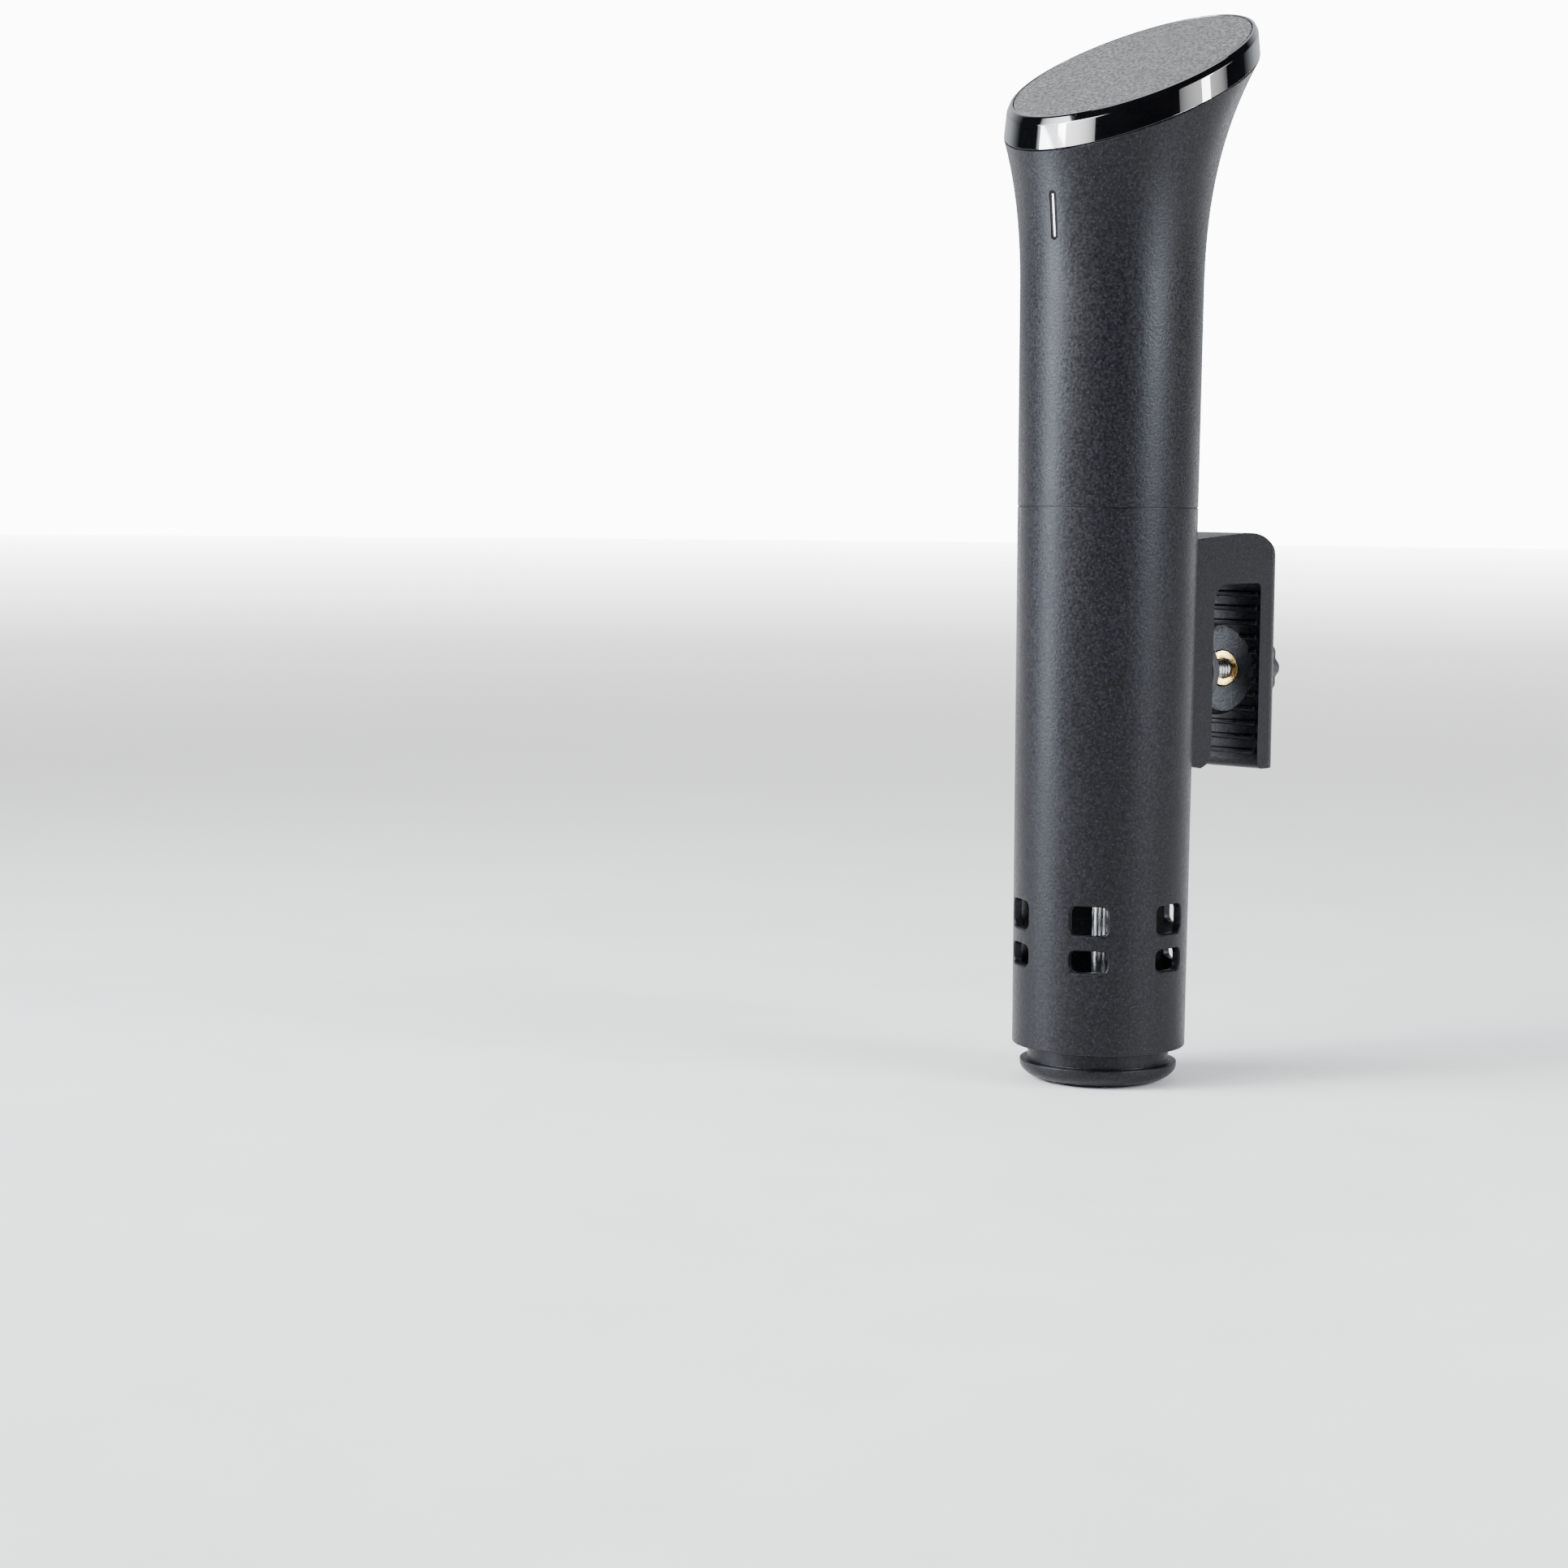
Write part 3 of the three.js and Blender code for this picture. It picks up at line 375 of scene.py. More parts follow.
class Paint:
    """A material and the few node moves that its makers share."""

    def __init__(self, slot):
        self.material = bpy.data.materials.new(slot)
        self.material.use_nodes = True
        self.material["slot"] = slot
        self.nodes = self.material.node_tree.nodes
        self.links = self.material.node_tree.links
        self.shader = self.nodes["Principled BSDF"]
        self.place = self.nodes.new("ShaderNodeTexCoord").outputs["Object"]

    def set(self, **values):
        """Sets the shader's sockets, named in lower case with _ for a space."""
        for socket in self.shader.inputs:
            name = socket.name.lower().replace(" ", "_")
            if name in values:
                socket.default_value = values.pop(name)
        assert not values, values
        return self

    def scaled(self, x, y, z):
        """Coordinates stretched along the axes."""
        mapping = self.nodes.new("ShaderNodeMapping")
        mapping.inputs["Scale"].default_value = (x, y, z)
        self.links.new(self.place, mapping.inputs["Vector"])
        return mapping.outputs["Vector"]

    def noise(self, size, detail=2.0, place=None):
        """Noise with features about size millimetres across."""
        node = self.nodes.new("ShaderNodeTexNoise")
        node.inputs["Scale"].default_value = 1 / (size * MM)
        node.inputs["Detail"].default_value = detail
        self.links.new(place or self.place, node.inputs["Vector"])
        return node.outputs["Fac"]

    def cells(self, size):
        """Distance within cells about size millimetres across."""
        node = self.nodes.new("ShaderNodeTexVoronoi")
        node.inputs["Scale"].default_value = 1 / (size * MM)
        self.links.new(self.place, node.inputs["Vector"])
        return node.outputs["Distance"]

    def waves(self, size, direction="Z", distortion=0.0):
        """Parallel ridges about size millimetres apart."""
        node = self.nodes.new("ShaderNodeTexWave")
        node.bands_direction = direction
        node.inputs["Scale"].default_value = 0.314 / (size * MM)
        node.inputs["Distortion"].default_value = distortion
        self.links.new(self.place, node.inputs["Vector"])
        return node.outputs["Fac"]

    def ramp(self, value, *stops):
        """Colours or greys along a value, from (position, colour) stops."""
        node = self.nodes.new("ShaderNodeValToRGB")
        elements = node.color_ramp.elements
        while len(elements) < len(stops):
            elements.new(0.5)
        for element, (position, colour) in zip(elements, stops):
            element.position = position
            grey = isinstance(colour, (int, float))
            element.color = (colour,) * 3 + (1,) if grey else (*colour, 1)
        self.links.new(value, node.inputs["Fac"])
        return node.outputs["Color"]

    def mixed(self, a, b, share):
        """Colour a with a share of colour b in it."""
        node = self.nodes.new("ShaderNodeMix")
        node.data_type = "RGBA"
        node.inputs["Factor"].default_value = share
        self.links.new(a, node.inputs["A"])
        self.links.new(b, node.inputs["B"])
        return node.outputs["Result"]

    def colour(self, source):
        self.links.new(source, self.shader.inputs["Base Color"])
        return self

    def roughness(self, value, low, high):
        """Roughness from low to high along a value."""
        spread = self.ramp(value, (0.3, low), (0.7, high))
        self.links.new(spread, self.shader.inputs["Roughness"])
        return self

    def bump(self, height, depth):
        """Relief of about depth millimetres."""
        node = self.nodes.new("ShaderNodeBump")
        node.inputs["Distance"].default_value = depth * MM
        self.links.new(height, node.inputs["Height"])
        self.links.new(node.outputs["Normal"], self.shader.inputs["Normal"])
        return self


def shell_paint():
    """Charcoal plastic with a coarse spark-eroded grain and pale mineral specks in it."""
    paint = Paint("shell")
    grain = paint.noise(0.85, 3)
    dark, pale = (0.0006, 0.0006, 0.0012), (0.0080, 0.0084, 0.0130)
    tone = paint.ramp(grain, (0.4, dark), (0.64, pale))
    speck = paint.ramp(paint.cells(1.0), (0.05, (0.04, 0.041, 0.050)), (0.32, dark))
    paint.colour(paint.mixed(tone, speck, 0.35))
    paint.roughness(paint.mixed(grain, paint.noise(26, 3), 0.25), 0.27, 0.5)
    paint.bump(grain, 0.08)
    return paint.set(specular_ior_level=0.2).material


def gloss_paint():
    """Polished black plastic with faint polishing haze."""
    paint = Paint("gloss")
    haze = paint.noise(7, 4)
    paint.colour(paint.ramp(haze, (0.3, (0.0005, 0.0005, 0.0007)), (0.75, (0.0013, 0.0013, 0.0016))))
    paint.roughness(paint.noise(2.2, 3), 0.03, 0.06)
    paint.bump(paint.noise(9, 1), 0.004)
    return paint.set(coat_weight=1.0, coat_roughness=0.03, coat_ior=1.6, ior=1.7).material


def panel_paint():
    """Satin touch surface with a fine even speckle."""
    paint = Paint("panel")
    grain = paint.noise(1.0, 2)
    tone = paint.ramp(grain, (0.4, (0.024, 0.024, 0.024)), (0.64, (0.12, 0.12, 0.12)))
    cloud = paint.ramp(paint.noise(18, 3), (0.3, 0.07), (0.7, 0.10))
    paint.colour(paint.mixed(tone, cloud, 0.15))
    paint.roughness(grain, 0.4, 0.6)
    paint.bump(grain, 0.05)
    return paint.set(specular_ior_level=0.4).material


def light_paint():
    """Milky lens with a faint glow and a slightly cloudy tint."""
    paint = Paint("light")
    haze = paint.noise(1.6, 3)
    tint = paint.ramp(haze, (0.3, (0.72, 0.75, 0.80)), (0.7, (0.86, 0.88, 0.92)))
    paint.colour(tint)
    paint.links.new(tint, paint.shader.inputs["Emission Color"])
    paint.roughness(haze, 0.16, 0.3)
    return paint.set(emission_strength=0.15).material


def shade_paint():
    """Dull black surround that keeps light off the shell."""
    paint = Paint("black_plastic")
    paint.material.name = "shade"
    dust = paint.noise(0.8, 3)
    paint.colour(paint.ramp(dust, (0.3, (0.0025, 0.0025, 0.003)), (0.7, (0.005, 0.005, 0.0056))))
    paint.roughness(dust, 0.6, 0.75)
    paint.bump(dust, 0.01)
    return paint.set(specular_ior_level=0.1).material


def soft_paint():
    """Dull black silicone with a dusty bloom."""
    paint = Paint("soft")
    dust = paint.noise(3.5, 5)
    paint.colour(paint.ramp(dust, (0.35, (0.009, 0.009, 0.010)), (0.8, (0.024, 0.024, 0.026))))
    paint.roughness(dust, 0.62, 0.82)
    paint.bump(paint.noise(0.5, 2), 0.03)
    return paint.set(sheen_weight=0.15, sheen_roughness=0.6).material


def black_plastic_paint():
    """Glass-filled nylon: dark, with short pale fibres in it."""
    paint = Paint("black_plastic")
    fibre = paint.noise(0.5, 2, paint.scaled(1, 1, 0.25))
    paint.colour(paint.ramp(fibre, (0.35, (0.010, 0.010, 0.011)), (0.72, (0.026, 0.026, 0.028))))
    paint.roughness(paint.noise(1.2, 3), 0.42, 0.6)
    paint.bump(fibre, 0.03)
    return paint.material


def grey_plastic_paint():
    """Moulded grey engineering plastic with flow marks."""
    paint = Paint("grey_plastic")
    flow = paint.noise(6, 4, paint.scaled(1, 1, 0.3))
    paint.colour(paint.ramp(flow, (0.3, (0.24, 0.245, 0.25)), (0.7, (0.31, 0.315, 0.32))))
    paint.roughness(flow, 0.4, 0.55)
    paint.bump(paint.noise(0.4, 2), 0.02)
    return paint.material


def board_paint():
    """Green solder mask over copper tracks and pads."""
    paint = Paint("board")
    bricks = paint.nodes.new("ShaderNodeTexBrick")
    bricks.inputs["Scale"].default_value = 120
    bricks.inputs["Mortar Size"].default_value = 0.06
    bricks.inputs["Color1"].default_value = (0.012, 0.085, 0.045, 1)
    bricks.inputs["Color2"].default_value = (0.014, 0.105, 0.055, 1)
    bricks.inputs["Mortar"].default_value = (0.035, 0.19, 0.09, 1)
    turned = paint.nodes.new("ShaderNodeMapping")
    turned.inputs["Rotation"].default_value = (math.radians(90), 0, 0)
    paint.links.new(paint.place, turned.inputs["Vector"])
    paint.links.new(turned.outputs["Vector"], bricks.inputs["Vector"])
    cloud = paint.ramp(paint.noise(9, 3), (0.3, (0.010, 0.075, 0.040)), (0.7, (0.018, 0.12, 0.06)))
    paint.colour(paint.mixed(bricks.outputs["Color"], cloud, 0.3))
    paint.roughness(paint.noise(4, 3), 0.25, 0.4)
    paint.bump(bricks.outputs["Fac"], 0.03)
    return paint.material


def component_paint():
    """Moulded epoxy of chips, relays and capacitor sleeves."""
    paint = Paint("component")
    grain = paint.noise(0.3, 3)
    paint.colour(paint.ramp(grain, (0.3, (0.012, 0.013, 0.016)), (0.75, (0.03, 0.031, 0.036))))
    paint.roughness(paint.noise(2, 3), 0.36, 0.55)
    paint.bump(grain, 0.015)
    return paint.material


def copper_paint():
    """Lacquered copper winding, wire by wire."""
    paint = Paint("copper")
    wires = paint.waves(0.5, "Z", 0.6)
    paint.colour(paint.ramp(wires, (0.1, (0.13, 0.028, 0.010)), (0.8, (0.50, 0.17, 0.065))))
    paint.roughness(paint.noise(1.5, 3), 0.25, 0.4)
    paint.bump(wires, 0.12)
    return paint.set(metallic=0.85).material


def ceramic_paint():
    """Glazed off-white tube with fine crazing."""
    paint = Paint("ceramic")
    paint.colour(paint.ramp(paint.noise(3, 4), (0.3, (0.60, 0.56, 0.47)), (0.7, (0.71, 0.68, 0.60))))
    paint.roughness(paint.noise(0.8, 2), 0.15, 0.3)
    paint.bump(paint.cells(1.4), 0.01)
    return paint.material


def metal_paint(slot, dark, light, rough, brush):
    """Turned or drawn metal: fine tool lines along one direction over broad stains."""
    paint = Paint(slot)
    lines = paint.noise(0.3, 3, paint.scaled(*brush))
    stain = paint.noise(8, 4)
    tone = paint.ramp(lines, (0.3, dark), (0.7, light))
    shade = paint.ramp(stain, (0.3, dark), (0.7, light))
    paint.colour(paint.mixed(tone, shade, 0.4))
    paint.roughness(lines, *rough)
    paint.bump(lines, 0.008)
    return paint.set(metallic=1.0).material


SHELL = shell_paint()
GLOSS = gloss_paint()
PANEL = panel_paint()
LIGHT = light_paint()
SHADE = shade_paint()
SOFT = soft_paint()
BLACK_PLASTIC = black_plastic_paint()
GREY_PLASTIC = grey_plastic_paint()
BOARD = board_paint()
COMPONENT = component_paint()
COPPER = copper_paint()
CERAMIC = ceramic_paint()
STEEL = metal_paint("steel", (0.42, 0.43, 0.44), (0.66, 0.67, 0.68), (0.2, 0.34), (1, 1, 0.06))
BRASS = metal_paint("brass", (0.46, 0.29, 0.09), (0.70, 0.49, 0.20), (0.22, 0.36), (1, 0.06, 1))
ALUMINIUM = metal_paint("aluminium", (0.48, 0.49, 0.50), (0.68, 0.69, 0.70), (0.3, 0.45), (0.08, 1, 1))

# ---------------------------------------------------------------- camera, lights and floor

CAMERA_DISTANCE = 1004.09
CAMERA_TURN = 37.514
CAMERA_HEIGHT = 182.343
CAMERA_YAW = 5.565
CAMERA_PITCH = 5.294
CAMERA_ROLL = 0.543
CAMERA_LENS = 75.40
BACKDROP = 12
COOL = (0.8, 0.89, 1.0)
FLOOR_RADIUS = 9000


def make_camera():
    """A camera on the right of the front, aimed a little left of and below the level line."""
    turn = math.radians(CAMERA_TURN)
    place = Vector((math.sin(turn), -math.cos(turn), 0)) * CAMERA_DISTANCE
    place.z = CAMERA_HEIGHT
    aim = Matrix.Rotation(turn, 4, "Z") @ Matrix.Rotation(math.radians(90), 4, "X")
    aim = aim @ Matrix.Rotation(math.radians(CAMERA_YAW), 4, "Y")
    aim = aim @ Matrix.Rotation(math.radians(-CAMERA_PITCH), 4, "X")
    aim = aim @ Matrix.Rotation(math.radians(CAMERA_ROLL), 4, "Z")
    data = bpy.data.cameras.new("camera")
    data.lens = CAMERA_LENS
    data.clip_start = 0.01
    data.clip_end = 50
    camera = bpy.data.objects.new("camera", data)
    camera.matrix_world = Matrix.Translation(place * MM + AXIS) @ aim
    bpy.context.scene.collection.objects.link(camera)
    bpy.context.scene.camera = camera


def area_light(name, turn, rise, distance, width, height, power, spread=180, tint=(1, 1, 1)):
    """A soft box that faces the head, brightest in its middle if its spread is narrow.

    turn is round from the front and rise above level. Both and spread are in degrees.
    """
    data = bpy.data.lights.new(name, "AREA")
    data.shape = "RECTANGLE"
    data.size = width
    data.size_y = height
    data.energy = power
    data.spread = math.radians(spread)
    data.color = tint
    light = bpy.data.objects.new(name, data)
    turn, rise = math.radians(turn), math.radians(rise)
    back = Vector((math.sin(turn) * math.cos(rise), -math.cos(turn) * math.cos(rise), math.sin(rise)))
    centre = AXIS + Vector((0, 0, 0.25))
    light.location = centre + back * distance
    light.rotation_mode = "QUATERNION"
    light.rotation_quaternion = back.to_track_quat("Z", "Y")
    bpy.context.scene.collection.objects.link(light)


def overhead_light(strength):
    """Even light from above, as from a large ceiling panel."""
    data = bpy.data.lights.new("overhead", "SUN")
    data.energy = strength
    data.angle = math.radians(50)
    light = bpy.data.objects.new("overhead", data)
    bpy.context.scene.collection.objects.link(light)


def make_world():
    """A dim room with lit paper behind the object. The camera sees the paper on every side."""
    world = bpy.data.worlds.new("studio")
    world.use_nodes = True
    nodes, links = world.node_tree.nodes, world.node_tree.links
    turn = math.radians(CAMERA_TURN)
    toward_paper = nodes.new("ShaderNodeVectorMath")
    toward_paper.operation = "DOT_PRODUCT"
    toward_paper.inputs[1].default_value = (-math.sin(turn), math.cos(turn), 0)
    links.new(nodes.new("ShaderNodeTexCoord").outputs["Generated"], toward_paper.inputs[0])
    paper = nodes.new("ShaderNodeValToRGB")
    paper.color_ramp.elements[0].position = 0.5
    paper.color_ramp.elements[0].color = (0.022, 0.023, 0.027, 1)
    paper.color_ramp.elements[1].position = 0.8
    paper.color_ramp.elements[1].color = (0.9, 0.95, 1.0, 1)
    links.new(toward_paper.outputs["Value"], paper.inputs["Fac"])
    dim = nodes["Background"]
    links.new(paper.outputs["Color"], dim.inputs["Color"])
    bright = nodes.new("ShaderNodeBackground")
    bright.inputs["Color"].default_value = (1, 1, 1, 1)
    bright.inputs["Strength"].default_value = BACKDROP
    path = nodes.new("ShaderNodeLightPath")
    mix = nodes.new("ShaderNodeMixShader")
    links.new(path.outputs["Is Camera Ray"], mix.inputs["Fac"])
    links.new(dim.outputs["Background"], mix.inputs[1])
    links.new(bright.outputs["Background"], mix.inputs[2])
    links.new(mix.outputs["Shader"], nodes["World Output"].inputs["Surface"])
    bpy.context.scene.world = world


def make_floor():
    """A plain pale table top that brightens towards the backdrop far away."""
    floor = lathe("floor", [(0, -20), (FLOOR_RADIUS, -20), (FLOOR_RADIUS, 0), (0, 0)], FINE)
    paint = Paint("floor")
    paint.colour(paint.ramp(paint.noise(60, 3), (0.3, 0.68), (0.7, 0.72)))
    paint.roughness(paint.noise(20, 2), 0.5, 0.6)
    distance = paint.nodes.new("ShaderNodeVectorMath")
    distance.operation = "LENGTH"
    reach = 1000 / FLOOR_RADIUS
    paint.links.new(paint.scaled(reach, reach, 0), distance.inputs[0])
    glow = paint.ramp(distance.outputs["Value"], (0.02, 0), (0.1, 0.035), (0.3, 0.12), (1, 0.7))
    paint.links.new(glow, paint.shader.inputs["Emission Color"])
    paint.set(emission_strength=BACKDROP)
    floor.data.materials.append(paint.material)


# ---------------------------------------------------------------- head


def upper_housing():
    """Tube and flare in one wall, with a slot for the status light and a hole for the gland."""
    foot = SEAM_Z + CLEAR / 2
    levels = [foot + 0.25 + (FLARE_Z - foot - 0.25) * i / 12 for i in range(12)]
    shares = [i / 36 for i in range(37)]
    rings = [level_ring(foot, 0.25), level_ring(foot + 0.07, 0.07)]
    rings += [level_ring(z, 0) for z in levels]
    rings += [flare_ring(share, 0) for share in shares[:-1]]
    rings += [flare_ring(0.995, 0), flare_ring(1, 0.22)]
    rings += [flare_ring(share, WALL) for share in reversed(shares[::3])]
    rings += [level_ring(z, WALL) for z in reversed(levels[::3])]
    rings += [level_ring(foot, WALL)]
    housing = loft("upper_housing_shell", rings, "round")
    gland_hole = lathe_along_y(
        "gland_hole",
        [(0, 20), (5.9, 20), (5.9, 27.3), (6.4, 28.2), (6.4, 35), (0, 35)],
        SMALL,
        (0, 0, GLAND_Z),
    )
    cut(housing, status_cutter(), gland_hole)
    return piece(housing, SHELL, replaces=["upper_housing"], sharp=38)


def capsule(inset, steps=12):
    """Outline in (x, z) of the status slot, made smaller by inset."""
    radius = STATUS_WIDTH / 2 - inset
    reach = STATUS_HEIGHT / 2 - STATUS_WIDTH / 2
    points = []
    for start, shift in ((0, reach), (180, -reach)):
        for i in range(steps + 1):
            angle = math.radians(start + 180 * i / steps)
            points.append((radius * math.cos(angle), STATUS_Z + shift + radius * math.sin(angle)))
    return points


def slot_loft(name, steps, ends="caps"):
    """A loft of slot outlines, from (inset, depth) steps."""
    rings = [[on_front(x, z, depth) for x, z in capsule(inset)] for inset, depth in steps]
    return loft(name, rings, ends)


def status_cutter():
    """The slot as a plug: a chamfered mouth, then straight through the wall."""
    return slot_loft("slot", [(0.03, -2), (0.03, -0.02), (0.11, 0.06), (0.15, 0.2), (0.15, WALL + 2)])


def status_light():
    """Dull black surround with a milky lens, both a little under the body's surface."""
    shroud = [(0.22, 3.2), (0.22, 0.25), (0.26, 0.18), (0.34, 0.15)]
    shroud += [(0.88, 0.15), (0.96, 0.2), (0.96, 3.2)]
    piece(slot_loft("status_shroud", shroud, "round"), SHADE, replaces=["status_bezel"])
    bar = [(1.0, 3.0), (1.0, 0.26), (1.03, 0.2), (1.08, 0.17), (1.17, 0.15), (1.28, 0.15)]
    piece(slot_loft("status_light_bar", bar), LIGHT, replaces=["status_lens"])


def bezel_ring():
    """Gloss band: a wall that leans in, a rounded shoulder, and ledges inside for panel and board."""
    section = rounded(
        [
            (0.05, CLEAR, 0.12),
            (0.75, 7.15, 0.9),
            (1.75, BEZEL_HEIGHT, 1.0),
            (2.6, BEZEL_HEIGHT, 0.15),
            (2.6, 6.2, 0.1),
            (5.3, 6.2, 0.2),
            (5.3, 2.2, 0.2),
            (8, 2.2, 0.2),
            (8, CLEAR, 0.2),
        ],
        steps=8,
    )
    ring = loft("gloss_bezel_ring", [oval(inset, height) for inset, height in section], "round")
    piece(ring, GLOSS, replaces=["bezel_ring"])


def touch_panel():
    """Flat satin plate with a softened rim."""
    rim = rounded([(3.4, 7.4), (2.9, 7.4), (2.9, BEZEL_HEIGHT), (4, BEZEL_HEIGHT)], 0.28, 5, is_open=True)
    inward = [(12, BEZEL_HEIGHT), (22, BEZEL_HEIGHT)]
    rings = [oval(inset, height) for inset, height in [(22, 7.4), (12, 7.4), *rim, *inward]]
    piece(loft("satin_touch_panel", rings), PANEL, replaces=["touch_panel"])


def cord_gland():
    """Rubber collar with a ribbed, tapered nose, open for a cord."""
    wall_in = body_radius(GLAND_Z) - WALL
    wall_out = body_radius(GLAND_Z)
    nose = [(4.95, wall_out + 5.2, 0.2), (4.75, wall_out + 7, 0.4)]
    groove = []
    for step in (2.6, 3.9):
        y = wall_out + step
        outer = 7.0 - 0.5 * (step - 2)
        groove += [(outer, y, 0.15), (outer - 0.9, y + 0.35, 0.15), (outer - 0.9, y + 0.75, 0.15)]
        groove += [(outer - 0.5, y + 1.0, 0.15)]
    corners = [
        (3.3, wall_in - 3),
        (7.6, wall_in - 3),
        (7.6, wall_in - 1.6),
        (5.6, wall_in - 1.6),
        (5.6, wall_out + 0.6, 0.1),
        (7.4, wall_out + 0.6),
        (7.4, wall_out + 2, 0.6),
        *groove,
        *nose,
        (3.3, wall_out + 7, 0.4),
    ]
    piece(
        lathe_along_y("cord_gland_boot", rounded(corners, 0.25), at=(0, 0, GLAND_Z)),
        SOFT,
        replaces=["cord_gland"],
    )


# ---------------------------------------------------------------- lower housing and cap

SPIGOT_RADIUS = TUBE_RADIUS - WALL - CLEAR


def sector(name, inner, outer, low, high, middle, width):
    """Part of a ring about the axis, centred on an angle in degrees from +X."""
    turns = [math.radians(middle + width * (i / 12 - 0.5)) for i in range(13)]
    outline = [(outer * math.cos(a), outer * math.sin(a)) for a in turns]
    outline += [(inner * math.cos(a), inner * math.sin(a)) for a in reversed(turns)]
    return prism(name, outline, low, high, along_z)


def bayonet(inner, outer, low, high, width):
    """Three tabs round the axis."""
    return [sector("bayonet", inner, outer, low, high, angle, width) for angle in TAB_TURNS]


def window_cutter(low, high, turn):
    """A rounded window as a plug bent round the tube, with a chamfer at the outer surface."""
    rings = []
    for grow, depth in ((0.5, -1), (0.5, -0.02), (0.22, 0.14), (0, 0.5), (0, WALL + 2)):
        ring = []
        for across, up in rectangle(WINDOW_WIDTH + 2 * grow, high - low + 2 * grow, 2.5 + grow):
            z = (low + high) / 2 + up
            angle = turn + across / body_radius(z)
            radius = body_radius(z) - depth
            ring.append((radius * math.cos(angle), radius * math.sin(angle), z))
        rings.append(ring)
    return loft("window", rings)


def on_circle(radius, degrees):
    """A point on a circle about the axis, at height 0."""
    angle = math.radians(degrees)
    return (radius * math.cos(angle), radius * math.sin(angle), 0)


def arm_holes(low, high):
    """Cutters for the two screws that hold the clamp arm, along Y from low to high."""
    outline = [(0, low), (1.9, low), (1.9, high), (0, high)]
    return [
        lathe_along_y("arm_hole", outline, SMALL, (side * ARM_SCREW_X, 0, ARM_SCREW_Z))
        for side in (-1, 1)
    ]


def lower_housing():
    """Tube and skirt in one moulding, with spigot, seal groove, ledges, windows and bayonet tabs."""
    top = SEAM_Z - CLEAR / 2

    def inner(z):
        return body_radius(z) - WALL

    corners = [
        (body_radius(SKIRT_Z), SKIRT_Z, 0.5),
        (body_radius(top), top, 0.25),
        (body_radius(top) - 0.22, top, 0.05),
        (body_radius(top) - 0.22, SEAM_Z + CLEAR / 2 - 0.02, 0),
        (SPIGOT_RADIUS, SEAM_Z + CLEAR / 2 - 0.02, 0),
        (SPIGOT_RADIUS, 178),
        (SPIGOT_RADIUS - 1.2, 178),
        (SPIGOT_RADIUS - 1.2, 180.2),
        (SPIGOT_RADIUS, 180.2),
        (SPIGOT_RADIUS, 183, 0.5),
        (SPIGOT_RADIUS - 2.4, 183),
        (SPIGOT_RADIUS - 2.4, 171, 2),
        (inner(168), 168, 2),
        (inner(PLATE_Z), PLATE_Z - CLEAR),
        (17.8, PLATE_Z - CLEAR),
        (17.8, PLATE_Z - 3, 0.6),
        (inner(98), 98, 1),
        (inner(23.7), 23.7),
        (22.4, 23.7),
        (22.4, 22.2),
        (inner(21), 21),
        (inner(SKIRT_Z), SKIRT_Z, 0.4),
    ]
    outline = []
    rounds = rounded(corners, 0.2, 3)
    for here, after in zip(rounds, [*rounds[1:], rounds[0]]):
        parts = max(1, round((after - here).length / 12))
        outline += [here.lerp(after, i / parts) for i in range(parts)]
    housing = lathe("lower_housing_shell", outline, FINE)
    join(housing, *bayonet(22, 25, SKIRT_Z, TAB_TOP_Z, 30))
    windows = [
        window_cutter(low, high, 2 * math.pi * i / WINDOW_COUNT)
        for low, high in WINDOW_ROWS
        for i in range(WINDOW_COUNT)
    ]
    plate_hole = [(0, 96), (1.5, 96), (1.5, 106), (0, 106)]
    plate_holes = [
        lathe("plate_hole", plate_hole, SMALL, on_circle(PLATE_SCREW_RADIUS, angle))
        for angle in (20, 140, 260)
    ]
    cut(housing, *windows, *plate_holes, *arm_holes(15, 30))
    return piece(housing, SHELL, replaces=["lower_housing"], sharp=38)


def bottom_cap():
    """Shallow bowl with an upright neck, lugs, and the water outlet through the neck's back."""
    edge = [math.radians(90 * i / 14) for i in range(1, 15)]
    bowl = [(15 + (CAP_RADIUS - 15) * math.sin(a), 5 * (1 - math.cos(a))) for a in edge]
    corners = [
        (15, 0, 2),
        *[(radius, z, 0) for radius, z in bowl],
        (CAP_RADIUS, CAP_HEIGHT, 0.3),
        (NECK_RADIUS, CAP_HEIGHT, 0.3),
        (NECK_RADIUS, NECK_TOP_Z, 0.6),
        (NECK_RADIUS - 2, NECK_TOP_Z, 0.6),
        (NECK_RADIUS - 2, 4.5, 1),
        (16, 2.6, 1),
    ]
    outline = [Vector((0, 0)), *rounded(corners, 0.3), Vector((0, 2.6))]
    cap = lathe("bottom_cap_bowl", outline, FINE)
    join(cap, *bayonet(NECK_RADIUS - 0.6, 23.5, TAB_TOP_Z + 0.4, TAB_TOP_Z + 3, 28))
    mouth = rectangle(22, SKIRT_Z - CAP_HEIGHT - 0.2, 1.2)
    centre = (SKIRT_Z + CAP_HEIGHT + 0.2) / 2
    outlet = prism("outlet", [(x, centre + z) for x, z in mouth], 10, 30, along_y)
    cut(cap, outlet)
    piece(cap, SHELL, body="cap", replaces=["bottom_cap"], sharp=38)


# ---------------------------------------------------------------- wet end


def heater_angle(run):
    """Angle about the axis of an upright run of the heater."""
    return math.radians(HEATER_STEP * (run - (HEATER_RUNS - 1) / 2))


